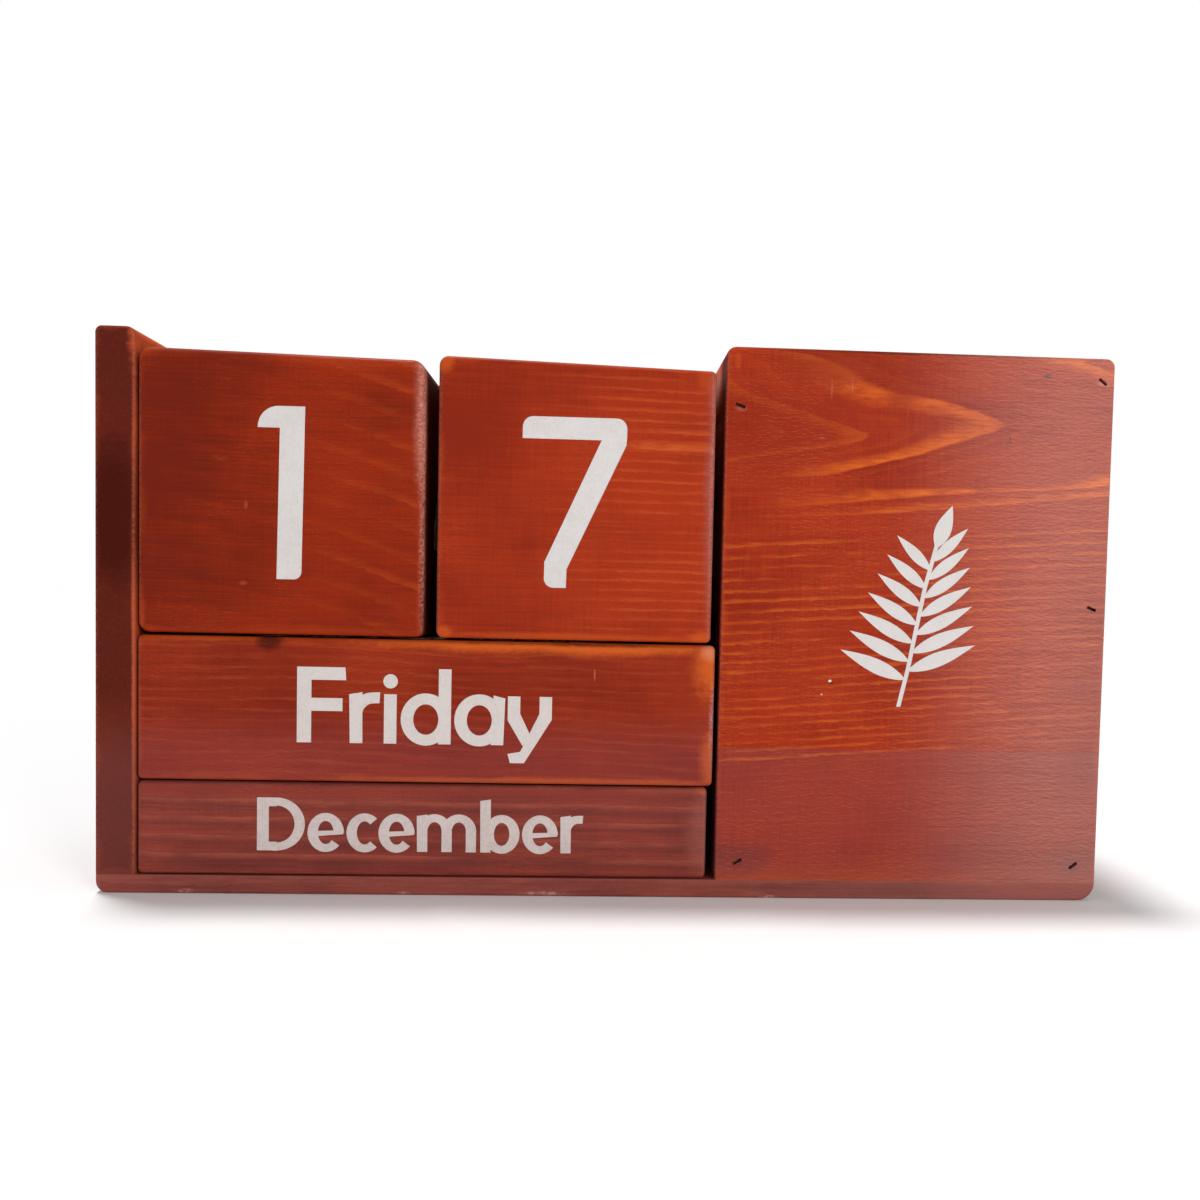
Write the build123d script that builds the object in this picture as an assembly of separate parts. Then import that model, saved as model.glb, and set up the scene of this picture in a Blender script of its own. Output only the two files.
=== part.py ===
from build123d import *

import os

# Perpetual desk calendar with a pen box, in stained pine. Millimetres.
# Origin: centre of the underside. +X runs to the right, -Y to the front, +Z up.
# A thin base carries a left wall and a pen box, a thin back board closes both, and between the wall
# and the box stand three month bars, two weekday bars on them, and two number cubes on top.

# Driving dimensions of the stand
WIDTH = 184.6
HEIGHT = 101.5
BASE_T = 3.4
LEFT_WALL_T = 7.0
WALL_T = 7.5
BACK_T = 3.4
BAY_DEPTH = 53.2
BAY_WIDTH = 105.3

# Driving dimensions of the loose blocks. The cubes' tops are cut a little out of square: their heights
# at the left and right, and their widths, differ from each other.
CUBE_DEPTH = 50.0
LEFT_CUBE_WIDTH = 50.7
LEFT_CUBE_HEIGHTS = (50.8, 49.9)
RIGHT_CUBE_WIDTH = 50.2
RIGHT_CUBE_HEIGHTS = (50.9, 49.6)
CUBE_GAP = 2.4
DAY_BAR = 26.1
DAY_BAR_LENGTH = 104.2
MONTH_BAR = 17.0
MONTH_BAR_LENGTH = 103.3
SIDE_PLAY = 0.3
ROW_PLAY = 0.1
SETBACK = 0.2

# Seams under the blocks, from the base up
MONTH_SEAM = 0.1
DAY_SEAM = 0.25
CUBE_SEAM = 0.5

# Sanded edges
BASE_LEFT_R = 2.1
BASE_RIGHT_R = 3.3
WALL_OUTER_R = 1.2
WALL_INNER_R = 1.6
BOX_LEFT_R = 1.8
BOX_RIGHT_R = 1.6
FACE_EASE_R = 0.6
RIM_EASE_R = 0.4
BAR_R = 1.0
BAR_END_R = 0.9

# The cubes' four lengthwise edges, from the top left clockwise, and their faces' edges
LEFT_CUBE_EDGES_R = (2.4, 2.4, 1.3, 2.2)
LEFT_CUBE_FACE_R = 1.2
RIGHT_CUBE_EDGES_R = (1.7, 1.0, 1.0, 1.4)
RIGHT_CUBE_FACE_R = 0.9

# Brads: a flat shank with a chisel point under a wider flat head, driven just below the surface
BRAD_LONG = 15.0
BRAD_SHORT = 12.0
SHANK_W = 1.2
BRAD_T = 0.9
POINT_LENGTH = 1.5
HEAD_W = 1.8
HEAD_T = 0.5
SINK = 1.1
SLIT_T = 0.6
OVERSHOOT = 0.2

# Places that follow from the sizes
DEPTH = BAY_DEPTH + BACK_T
LEFT = -WIDTH / 2
FRONT = -DEPTH / 2
BACK_FACE = FRONT + BAY_DEPTH
BAY_LEFT = LEFT + LEFT_WALL_T
BOX_LEFT = BAY_LEFT + BAY_WIDTH
BOX_WALL_DEPTH = BAY_DEPTH - WALL_T
WALL_HEIGHT = HEIGHT - BASE_T
BLOCK_LEFT = BAY_LEFT + SIDE_PLAY
BLOCK_FRONT = FRONT + SETBACK
MONTH_Z = BASE_T + MONTH_SEAM
DAY_Z = MONTH_Z + MONTH_BAR + DAY_SEAM
CUBE_Z = DAY_Z + DAY_BAR + CUBE_SEAM
MID_LEFT_WALL = LEFT + LEFT_WALL_T / 2
MID_BOX_LEFT = BOX_LEFT + WALL_T / 2
MID_BOX_RIGHT = -LEFT - WALL_T / 2
MID_PANEL = FRONT + WALL_T / 2


def slab(low, size):
    """A rectangular solid, from its lowest corner."""
    return Pos(*low) * Box(*size, align=(Align.MIN, Align.MIN, Align.MIN))


def edges_at(solid, axis, **place):
    """The edges along an axis whose middles lie at the x, y or z given."""

    def is_here(edge):
        middle = edge.center()
        return all(abs(getattr(middle, key.upper()) - value) < 0.01 for key, value in place.items())

    return solid.edges().filter_by(axis).filter_by(is_here)


def face_rim(face, above):
    """The edges round one face, leaving out what lies at or below the height given."""
    return [edge for edge in face.edges() if edge.center().Z > above + 0.01]


def ease_front(solid, radius, above):
    """Round over the front face's edges, down to the height given, where it meets the base."""
    front = solid.faces().sort_by(Axis.Y)[0]
    return fillet(face_rim(front, above), radius)


def ease_back(solid, radius, above):
    """Round over the back face's edges, down to the height given."""
    back = solid.faces().sort_by(Axis.Y)[-1]
    return fillet(face_rim(back, above), radius)


# The stand's boards


def make_base_board():
    board = slab((LEFT, FRONT, 0), (WIDTH, DEPTH, BASE_T))
    board = fillet(edges_at(board, Axis.Y, x=LEFT, z=0), BASE_LEFT_R)
    board = fillet(edges_at(board, Axis.Y, x=-LEFT, z=0), BASE_RIGHT_R)
    front = board.faces().sort_by(Axis.Y)[0]
    rim = [edge for edge in front.edges() if edge.center().Z < BASE_T - 0.01]
    return fillet(rim, FACE_EASE_R)


def make_left_wall():
    wall = slab((LEFT, FRONT, BASE_T), (LEFT_WALL_T, BAY_DEPTH, WALL_HEIGHT))
    wall = fillet(edges_at(wall, Axis.Y, x=LEFT, z=HEIGHT), WALL_OUTER_R)
    wall = fillet(edges_at(wall, Axis.Y, x=BAY_LEFT, z=HEIGHT), WALL_INNER_R)
    return ease_front(wall, FACE_EASE_R, BASE_T)


def make_box_left_wall():
    wall = slab((BOX_LEFT, FRONT + WALL_T, BASE_T), (WALL_T, BOX_WALL_DEPTH, WALL_HEIGHT))
    wall = fillet(edges_at(wall, Axis.Y, x=BOX_LEFT, z=HEIGHT), BOX_LEFT_R)
    return fillet(edges_at(wall, Axis.Y, x=BOX_LEFT + WALL_T, z=HEIGHT), RIM_EASE_R)


def make_box_right_wall():
    wall = slab((-LEFT - WALL_T, FRONT + WALL_T, BASE_T), (WALL_T, BOX_WALL_DEPTH, WALL_HEIGHT))
    wall = fillet(edges_at(wall, Axis.Y, x=-LEFT, z=HEIGHT), BOX_RIGHT_R)
    return fillet(edges_at(wall, Axis.Y, x=-LEFT - WALL_T, z=HEIGHT), RIM_EASE_R)


def make_box_front_panel():
    panel = slab((BOX_LEFT, FRONT, BASE_T), (-LEFT - BOX_LEFT, WALL_T, WALL_HEIGHT))
    panel = fillet(edges_at(panel, Axis.Y, x=BOX_LEFT, z=HEIGHT), BOX_LEFT_R)
    panel = fillet(edges_at(panel, Axis.Y, x=-LEFT, z=HEIGHT), BOX_RIGHT_R)
    return ease_front(panel, FACE_EASE_R, BASE_T)


def make_back_board():
    board = slab((LEFT, BACK_FACE, BASE_T), (WIDTH, BACK_T, WALL_HEIGHT))
    board = fillet(edges_at(board, Axis.Y, x=LEFT, z=HEIGHT), WALL_OUTER_R)
    board = fillet(edges_at(board, Axis.Y, x=-LEFT, z=HEIGHT), BOX_RIGHT_R)
    return ease_back(board, FACE_EASE_R, BASE_T)


# The loose blocks


def make_cube(left, width, heights, edges_r, face_r):
    """A number cube with a height at each side, an own radius on each lengthwise edge and one on its faces'."""
    right = left + width
    corners = (
        (left, CUBE_Z + heights[0]),
        (right, CUBE_Z + heights[1]),
        (right, CUBE_Z),
        (left, CUBE_Z),
    )
    front = Plane.XZ * make_face(Polyline(*corners, close=True))
    cube = Pos(0, BLOCK_FRONT + CUBE_DEPTH, 0) * extrude(front, CUBE_DEPTH)
    for (x, z), radius in zip(corners, edges_r):
        cube = fillet(edges_at(cube, Axis.Y, x=x, z=z), radius)
    return round_ends(cube, Axis.Y, face_r)


def round_ends(solid, axis, radius):
    """Round over the edges round the two end faces along an axis."""
    ends = solid.faces().sort_by(axis)
    return fillet(ends[0].edges() + ends[-1].edges(), radius)


def make_bar(front, bottom, side, length):
    """A square bar along X with its four long edges and its ends sanded round."""
    bar = slab((BLOCK_LEFT, front, bottom), (length, side, side))
    bar = fillet(bar.edges().filter_by(Axis.X), BAR_R)
    return round_ends(bar, Axis.X, BAR_END_R)


def make_blocks():
    """Every loose block by its name. Rows are numbered from the front to the back."""
    blocks = {
        "number_cube_left": make_cube(
            BLOCK_LEFT,
            LEFT_CUBE_WIDTH,
            LEFT_CUBE_HEIGHTS,
            LEFT_CUBE_EDGES_R,
            LEFT_CUBE_FACE_R,
        ),
        "number_cube_right": make_cube(
            BLOCK_LEFT + LEFT_CUBE_WIDTH + CUBE_GAP,
            RIGHT_CUBE_WIDTH,
            RIGHT_CUBE_HEIGHTS,
            RIGHT_CUBE_EDGES_R,
            RIGHT_CUBE_FACE_R,
        ),
    }
    for row, place in enumerate(("front", "rear")):
        front = BLOCK_FRONT + row * (DAY_BAR + ROW_PLAY)
        blocks[f"day_bar_{place}"] = make_bar(front, DAY_Z, DAY_BAR, DAY_BAR_LENGTH)
    for row, place in enumerate(("front", "middle", "rear")):
        front = BLOCK_FRONT + row * (MONTH_BAR + ROW_PLAY)
        blocks[f"month_bar_{place}"] = make_bar(front, MONTH_Z, MONTH_BAR, MONTH_BAR_LENGTH)
    return blocks


# The brads


def make_brad(length):
    """A brad driven along its own +Z from a surface at z = 0, its head's top SINK below it."""
    head = Pos(0, 0, SINK + HEAD_T / 2) * Box(HEAD_W, BRAD_T, HEAD_T)
    under = SINK + HEAD_T
    tip = SINK + length
    outline = Polyline(
        (-SHANK_W / 2, under),
        (SHANK_W / 2, under),
        (SHANK_W / 2, tip - POINT_LENGTH),
        (0, tip),
        (-SHANK_W / 2, tip - POINT_LENGTH),
        close=True,
    )
    flat = Plane.XZ * make_face(outline)
    return head + extrude(flat, BRAD_T / 2, both=True)


def make_pocket(brad):
    """What a brad takes out of the wood: its own shape and the slit its head leaves in the surface."""
    slit_height = SINK + OVERSHOOT
    slit = Pos(0, 0, SINK - slit_height / 2) * Box(HEAD_W, SLIT_T, slit_height)
    return brad + slit


def driven_from_front(x, z, tilt):
    """Where a brad goes that is driven back through the front face, its head tilted in that face."""
    return Location(Plane(origin=(x, FRONT, z), x_dir=(1, 0, 0), z_dir=(0, 1, 0))) * Rot(0, 0, tilt)


def driven_from_back(x, z):
    """Where a brad goes that is driven forward through the back board."""
    return Location(Plane(origin=(x, FRONT + DEPTH, z), x_dir=(0, 0, 1), z_dir=(0, -1, 0)))


def driven_from_below(x, y, along):
    """Where a brad goes that is driven up through the base, its head's length along a direction."""
    return Location(Plane(origin=(x, y, 0), x_dir=along, z_dir=(0, 0, 1)))


ALONG_X = (1, 0, 0)
ALONG_Y = (0, 1, 0)
PANEL_LEFT_MARKS = (
    (BOX_LEFT + 2.7, 90.8, 20),
    (BOX_LEFT + 4.2, 6.9, -30),
)
PANEL_RIGHT_MARKS = (
    (-LEFT - 2.3, 97.2, 38),
    (-LEFT - 2.8, 55.2, 22),
    (-LEFT - 4.4, 6.7, -38),
)
BACK_HEIGHTS = (16.0, 51.0, 88.0)
BASE_DEPTHS = (FRONT + 20.0, FRONT + 40.0)
PANEL_BASE_X = (BOX_LEFT + 20.0, -LEFT - 20.0)

# Each group: its name, the boards it goes through, its length and the place of each brad
BRAD_GROUPS = (
    (
        "panel_brads_left",
        ("box_front_panel", "box_left_wall"),
        BRAD_LONG,
        [driven_from_front(*mark) for mark in PANEL_LEFT_MARKS],
    ),
    (
        "panel_brads_right",
        ("box_front_panel", "box_right_wall"),
        BRAD_LONG,
        [driven_from_front(*mark) for mark in PANEL_RIGHT_MARKS],
    ),
    (
        "back_brads_left",
        ("back_board", "left_wall"),
        BRAD_SHORT,
        [driven_from_back(MID_LEFT_WALL, z) for z in BACK_HEIGHTS],
    ),
    (
        "back_brads_middle",
        ("back_board", "box_left_wall"),
        BRAD_SHORT,
        [driven_from_back(MID_BOX_LEFT, z) for z in BACK_HEIGHTS],
    ),
    (
        "back_brads_right",
        ("back_board", "box_right_wall"),
        BRAD_SHORT,
        [driven_from_back(MID_BOX_RIGHT, z) for z in BACK_HEIGHTS],
    ),
    (
        "base_brads_left",
        ("base_board", "left_wall"),
        BRAD_SHORT,
        [driven_from_below(MID_LEFT_WALL, y, ALONG_Y) for y in BASE_DEPTHS],
    ),
    (
        "base_brads_middle",
        ("base_board", "box_left_wall"),
        BRAD_SHORT,
        [driven_from_below(MID_BOX_LEFT, y, ALONG_Y) for y in BASE_DEPTHS],
    ),
    (
        "base_brads_right",
        ("base_board", "box_right_wall"),
        BRAD_SHORT,
        [driven_from_below(MID_BOX_RIGHT, y, ALONG_Y) for y in BASE_DEPTHS],
    ),
    (
        "base_brads_front",
        ("base_board", "box_front_panel"),
        BRAD_SHORT,
        [driven_from_below(x, MID_PANEL, ALONG_X) for x in PANEL_BASE_X],
    ),
)


def make_stand():
    """The boards with their brads driven in, by name."""
    boards = {
        "base_board": make_base_board(),
        "left_wall": make_left_wall(),
        "back_board": make_back_board(),
        "box_left_wall": make_box_left_wall(),
        "box_right_wall": make_box_right_wall(),
        "box_front_panel": make_box_front_panel(),
    }
    brads = {}
    for name, through, length, places in BRAD_GROUPS:
        brad = make_brad(length)
        pocket = make_pocket(brad)
        brads[name] = Compound(children=[place * brad for place in places])
        for board in through:
            for place in places:
                boards[board] = boards[board] - place * pocket
    return boards | brads


def main():
    os.makedirs("parts", exist_ok=True)
    pieces = make_stand() | make_blocks()
    for name, shape in pieces.items():
        export_step(shape, f"parts/{name}.step")


main()
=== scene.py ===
"""Looks of a perpetual desk calendar with a pen box: stained pine, painted lettering and a white studio."""

from __future__ import annotations

import logging
import math
from dataclasses import dataclass, field
from enum import Enum
from typing import Callable, Mapping, Union

import bpy
import numpy as np
from mathutils import Matrix, Vector
from mathutils.geometry import delaunay_2d_cdt

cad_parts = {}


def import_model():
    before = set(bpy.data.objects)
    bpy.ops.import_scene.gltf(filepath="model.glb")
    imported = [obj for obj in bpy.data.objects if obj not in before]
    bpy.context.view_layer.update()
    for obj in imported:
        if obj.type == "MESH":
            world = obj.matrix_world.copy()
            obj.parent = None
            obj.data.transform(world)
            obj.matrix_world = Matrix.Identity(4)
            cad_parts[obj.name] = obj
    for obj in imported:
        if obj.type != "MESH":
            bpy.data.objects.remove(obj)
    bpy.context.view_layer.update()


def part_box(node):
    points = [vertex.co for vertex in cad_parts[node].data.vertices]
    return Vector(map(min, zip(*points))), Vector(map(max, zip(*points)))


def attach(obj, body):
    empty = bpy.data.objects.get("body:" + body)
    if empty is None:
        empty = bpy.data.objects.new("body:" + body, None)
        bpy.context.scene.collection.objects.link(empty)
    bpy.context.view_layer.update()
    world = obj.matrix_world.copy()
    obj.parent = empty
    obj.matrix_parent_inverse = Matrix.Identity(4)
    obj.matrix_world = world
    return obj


LOG = logging.getLogger("calendar")
MM = 0.001
WHITE = (1.0, 1.0, 1.0, 1.0)
SIDEWAYS = 0
UPWARD = 2

Colour = tuple[float, float, float, float]
Point = tuple[float, float, float]


def display(red: float, green: float, blue: float) -> Colour:
    """A colour written as it shows on a screen, turned into light.

    Args:
        red: Red, 0 to 255.
        green: Green, 0 to 255.
        blue: Blue, 0 to 255.

    Returns:
        The linear colour with a full alpha.
    """
    shown = np.array([red, green, blue]) / 255.0
    light = np.where(shown <= 0.04045, shown / 12.92, ((shown + 0.055) / 1.055) ** 2.4)
    return (float(light[0]), float(light[1]), float(light[2]), 1.0)


# Shader maths


def between(operation: str, turned: bool = False) -> Callable[[Field, Value], Field]:
    """An operator between a field and a value, as one Math node. turned puts the value first."""

    def join(self: Field, other: Value) -> Field:
        sides = (other, self) if turned else (self, other)
        return self.graph.math(operation, *sides)

    return join


class Field:
    """A value that varies over a surface. Arithmetic on it adds Math nodes."""

    def __init__(self, graph: Graph, socket: bpy.types.NodeSocket) -> None:
        """Wraps one output socket of a graph."""
        self.graph = graph
        self.socket = socket

    __add__ = between("ADD")
    __radd__ = between("ADD", turned=True)
    __sub__ = between("SUBTRACT")
    __rsub__ = between("SUBTRACT", turned=True)
    __mul__ = between("MULTIPLY")
    least = between("MINIMUM")
    most = between("MAXIMUM")

    def __abs__(self) -> Field:
        """The size without its sign."""
        return self.graph.math("ABSOLUTE", self)

    def root(self) -> Field:
        """The square root."""
        return self.graph.math("SQRT", self)

    def fraction(self) -> Field:
        """The part past the whole number below."""
        return self.graph.math("FRACT", self)

    def rise(self, low: float, high: float) -> Field:
        """A smooth step from 0 at low to 1 at high.

        Args:
            low: Where the step starts.
            high: Where it ends. A high below low gives a falling step.

        Returns:
            The step, from 0 to 1.
        """
        start, stop, first, last = (low, high, 0.0, 1.0) if low < high else (high, low, 1.0, 0.0)
        node = self.graph.node(
            "ShaderNodeMapRange",
            {"interpolation_type": "SMOOTHSTEP"},
            {0: self, 1: start, 2: stop, 3: first, 4: last},
        )
        return Field(self.graph, node.outputs[0])


Value = Union[Field, float]


class Graph:
    """One material's or world's nodes."""

    def __init__(self, tree: bpy.types.NodeTree) -> None:
        """Empties a node tree to build in it."""
        self.tree = tree
        tree.nodes.clear()

    def node(
        self,
        kind: str,
        settings: Mapping[str, object] | None = None,
        inputs: Mapping[int | str, object] | None = None,
    ) -> bpy.types.Node:
        """Adds one node.

        Args:
            kind: The node's type.
            settings: What is set on the node itself, first.
            inputs: Values or links by socket name or number.

        Returns:
            The node.
        """
        node = self.tree.nodes.new(kind)
        for key, value in (settings or {}).items():
            setattr(node, key, value)
        for key, value in (inputs or {}).items():
            if isinstance(value, Field):
                self.tree.links.new(value.socket, node.inputs[key])
            elif isinstance(value, bpy.types.NodeSocket):
                self.tree.links.new(value, node.inputs[key])
            else:
                node.inputs[key].default_value = value
        return node

    def math(self, operation: str, *values: Value) -> Field:
        """Adds a Math node on one or more values and gives its result."""
        node = self.node("ShaderNodeMath", {"operation": operation}, dict(enumerate(values)))
        return Field(self, node.outputs[0])

    def vector(self, x: Value, y: Value, z: Value) -> bpy.types.NodeSocket:
        """Joins three values into a vector."""
        return self.node("ShaderNodeCombineXYZ", None, {0: x, 1: y, 2: z}).outputs[0]

    def noise(self, x: Value, y: Value, z: Value, detail: float = 2.0, roughness: float = 0.5) -> Field:
        """Smooth noise about 0, mostly within a quarter each way.

        Args:
            x: First coordinate, in noise cells.
            y: Second coordinate.
            z: Third coordinate.
            detail: How many finer layers are added.
            roughness: How strong each finer layer is.

        Returns:
            The noise.
        """
        inputs = {"Vector": self.vector(x, y, z), "Scale": 1.0, "Detail": detail, "Roughness": roughness}
        node = self.node("ShaderNodeTexNoise", {"noise_dimensions": "3D"}, inputs)
        return Field(self, node.outputs[0]) - 0.5

    def parts(self, kind: str) -> list[Field]:
        """The x, y and z of one kind of texture coordinates, such as Normal."""
        source = self.node("ShaderNodeTexCoord").outputs[kind]
        split = self.node("ShaderNodeSeparateXYZ", None, {0: source})
        return [Field(self, split.outputs[i]) for i in range(3)]

    def place(self) -> list[Field]:
        """The place on the piece in the row frame, in mm."""
        return [part * (1 / MM) for part in self.parts("Object")]

    def bump(self, height: Field, distance: float, strength: float = 1.0) -> bpy.types.NodeSocket:
        """A normal tilted by a relief that is distance mm high."""
        inputs = {"Strength": strength, "Distance": distance * MM, "Height": height}
        return self.node("ShaderNodeBump", None, inputs).outputs[0]

    def surface(self, inputs: Mapping[str, object]) -> None:
        """Ends the material in one Principled shader."""
        shader = self.node("ShaderNodeBsdfPrincipled", None, inputs)
        self.node("ShaderNodeOutputMaterial", None, {"Surface": shader.outputs[0]})

    def mix(self, share: Value, first: object, second: object) -> Field:
        """Mixes two colours.

        Args:
            share: How much of the second colour, 0 to 1.
            first: A colour or a link.
            second: A colour or a link.

        Returns:
            The mixed colour.
        """
        node = self.node("ShaderNodeMix", {"data_type": "RGBA"}, {0: share, 6: first, 7: second})
        return Field(self, node.outputs[2])


def new_graph(name: str) -> tuple[bpy.types.Material, Graph]:
    """A new material and the graph to build it in."""
    material = bpy.data.materials.new(name)
    material.use_nodes = True
    return material, Graph(material.node_tree)


def in_mm(box: tuple[Vector, Vector]) -> tuple[np.ndarray, np.ndarray]:
    """The lowest and the highest corner of a box, in mm."""
    low, high = box
    return np.array(low) / MM, np.array(high) / MM


def add_object(name: str, data: bpy.types.ID) -> bpy.types.Object:
    """A new object in the scene."""
    item = bpy.data.objects.new(name, data)
    bpy.context.scene.collection.objects.link(item)
    return item


# Wood


class Along(Enum):
    """The way a piece's grain runs. The value lists the row axes: along the grain, across it, and up."""

    X = (0, 1, 2)
    Y = (1, 0, 2)


@dataclass(frozen=True)
class Accent:
    """One growth line told apart.

    depth is its outer edge in the figure's mm and width its breadth. It fades in from start to stop along
    the grain, or out where stop is below start. shadow darkens the wood beyond it, over the breadth beyond.
    """

    depth: float
    width: float
    strength: float
    start: float = -300.0
    stop: float = -299.0
    shadow: float = 0.0
    beyond: float = 5.0


@dataclass(frozen=True)
class Rings:
    """Growth lines as level lines of a depth, in mm from the piece's middle.

    The depth is the distance from a pith line nearly along the grain, at pith across it, which moves by
    lean across per mm along and bends. spacing is the first lines' distance, tighten closes them up
    outwards and phase shifts them. show is the pale lines' strength and shade that of the darker wood
    before each. The lines fade in along the grain between the lengths in over, and outside the depths in
    band only quiet of them is left. wander, ripple and ragged are how far slow, quick and fine noise shift
    the lines, and accents are lines told apart.
    """

    pith: tuple[float, float]
    lean: tuple[float, float] = (0.0, 0.0)
    bend: float = 0.0
    spacing: float = 2.0
    tighten: float = 0.0
    phase: float = 0.0
    show: float = 0.4
    shade: float = 0.2
    over: tuple[float, float] = (-300.0, -299.0)
    band: tuple[float, float] = (-300.0, 300.0)
    quiet: float = 0.2
    wander: float = 1.6
    ripple: float = 0.35
    ragged: float = 0.35
    accents: tuple[Accent, ...] = ()

    def depth(self, length: Field, across: Field, up: Field) -> Field:
        """The depth before it is warped."""
        first = across - self.pith[0] + length * self.lean[0]
        second = up - self.pith[1] + length * self.lean[1] + length * length * self.bend
        return (first * first + second * second).root()


@dataclass(frozen=True)
class Arrowheads(Rings):
    """Growth lines cut at a low slant, which draws arrowheads one in another along the grain.

    pith gives the face that shows them and the height of the points. The lines run off the points at the
    slope steep, out to the distance turn from that height, and nearly level beyond. apex is the length at
    which the depth is counted. The lines past the turn keep the share fan of the slope out to the distance
    calm. The middle line rises by tilt per mm beyond the turn, and within it lies dip lower and rises by
    swing less, and sags by sag towards the start.
    """

    steep: float = 0.29
    level: float = 0.010
    turn: float = 13.0
    fan: float = 0.17
    calm: float = 21.0
    apex: float = 27.7
    tilt: float = 0.06
    dip: float = 0.74
    swing: float = 0.07
    sag: float = 3.4

    def depth(self, length: Field, across: Field, up: Field) -> Field:
        """The depth before it is warped."""
        off = up - self.pith[1]
        away = abs(off)
        near = away.rise(self.turn + 0.4, self.turn - 2.2) * (1.0 - self.fan)
        near = near + away.rise(self.calm, self.calm - 4.0) * self.fan
        sunk = length.rise(8.0, -16.0) * away.rise(10.0, 3.0) * self.sag
        height = off - length * self.tilt + near * (length * self.swing + self.dip) + sunk
        slope = near * (self.steep - self.level) + self.level
        return (height * height + 1.2).root() - slope * (self.apex - length) + (across - self.pith[0]) * 0.4


@dataclass(frozen=True)
class Rub:
    """A place where sanding has gone through the stain; a few of them also paint the light that falls on a
    rounded edge or a lit side.

    middle is in the row frame, and reach says how far the place goes each way, in mm.
    """

    middle: Point
    reach: Point
    strength: float


@dataclass(frozen=True)
class Mark(Rub):
    """A place of another colour. Some are the wood's own, such as pooled stain, a scuff or torn fibres;
    others are painted highlights and painted shade. gritty breaks it up.
    """

    colour: Colour = (0.0, 0.0, 0.0, 1.0)
    gritty: bool = False


@dataclass(frozen=True)
class PaintedReflection:
    """Painted reflection: the floor or a lamp seen in the varnish, laid on as a colour that comes in from one
    place to another along an axis of the row frame, in mm.

    streaky breaks it up into streaks along the grain.
    """

    axis: int
    start: float
    stop: float
    share: float
    colour: Colour
    streaky: float = 0.0


@dataclass(frozen=True)
class Stain:
    """The colours of a piece's stain: its darkest and usual tone, the pale lines, bare edges and end grain.

    painted_light_drift is painted light: how far the tone brightens from the middle to each positive side, as
    where more light falls, and blotch how uneven it is.
    """

    dark: Colour
    usual: Colour
    line: Colour
    bare: Colour
    end: Colour
    painted_light_drift: Point = (0.0, 0.0, 0.0)
    blotch: float = 0.9


class Timber:
    """One pine piece's places, in mm from its middle, and the noises in its wood.

    place follows the row axes, and length, across and up are the same places by the grain. end is how far
    a face looks along the grain, end_face is 1 on end grain and side 1 elsewhere, and edge is the distance
    to the nearest edge. The noises fibre and dash are drawn out along the grain, glint is the slope of
    dash, plane is the planer's chatter, and cloud, patch, fray, grit and pore run from coarse to fine.
    """

    def __init__(self, graph: Graph, node: str, along: Along, seed: float) -> None:
        """Measures a CAD node and lays the noises over it.

        Args:
            graph: Where the nodes go.
            node: The CAD node, whose box centres the pattern.
            along: The way its grain runs.
            seed: Shifts the noises, so that no two pieces are alike.
        """
        low, high = in_mm(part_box(node))
        self.graph = graph
        self.middle = (low + high) / 2
        self.half = (high - low) / 2
        self.place = [part - float(centre) for part, centre in zip(graph.place(), self.middle)]
        self.length, self.across, self.up = (self.place[i] for i in along.value)
        self.end = abs(graph.parts("Normal")[along.value[0]])
        self.end_face = self.end.rise(0.55, 0.9)
        self.side = 1.0 - self.end_face
        self.edge = self._edge_distance()

        length, across, up = self.length, self.across, self.up
        self.fibre = graph.noise(length * 0.06 + seed, across * 2.2, up * 2.2, 4.0, 0.62)
        self.dash = graph.noise(length * 0.7 + seed, across * 2.6, up * 2.6, 3.0, 0.65)
        self.glint = self.dash - graph.noise(length * 0.7 + seed, across * 2.6, up * 2.6 + 0.4, 3.0, 0.65)
        self.plane = graph.noise(length * 2.4, across * 0.25 + seed, up * 0.13, 2.0, 0.6)
        x, y, z = self.place
        self.cloud = graph.noise(x * 0.035 + seed, y * 0.05, z * 0.05 + seed, 3.0, 0.55)
        self.patch = graph.noise(x * 0.09 + seed, y * 0.09, z * 0.10 - seed, 2.0, 0.55)
        self.fray = graph.noise(x * 0.7, y * 0.7 + seed, z * 1.4, 3.0, 0.65)
        self.grit = graph.noise(x * 1.6, y * 1.6, z * 2.4 + seed, 4.0, 0.75).rise(-0.12, 0.16)
        self.pore = graph.noise(x * 1.9, y * 1.9 + seed, z * 1.9, 3.0, 0.7)

    def _edge_distance(self) -> Field:
        """Distance from the nearest edge of the box: the middle one of the three distances to its faces."""
        x, y, z = (float(half) - abs(part) for half, part in zip(self.half, self.place))
        return x.least(y).most(x.most(y).least(z))

    def reach(self, rub: Rub) -> Field:
        """A rub's share at a place: full near its middle and fading out unevenly at its reach."""
        x, y, z = (
            (self.place[i] - float(rub.middle[i] - self.middle[i])) * (1 / rub.reach[i]) for i in range(3)
        )
        far = (x * x + y * y + z * z).root()
        return (far + self.fray * 0.45 + self.patch * 0.6).rise(1.0, 0.35) * rub.strength


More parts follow.
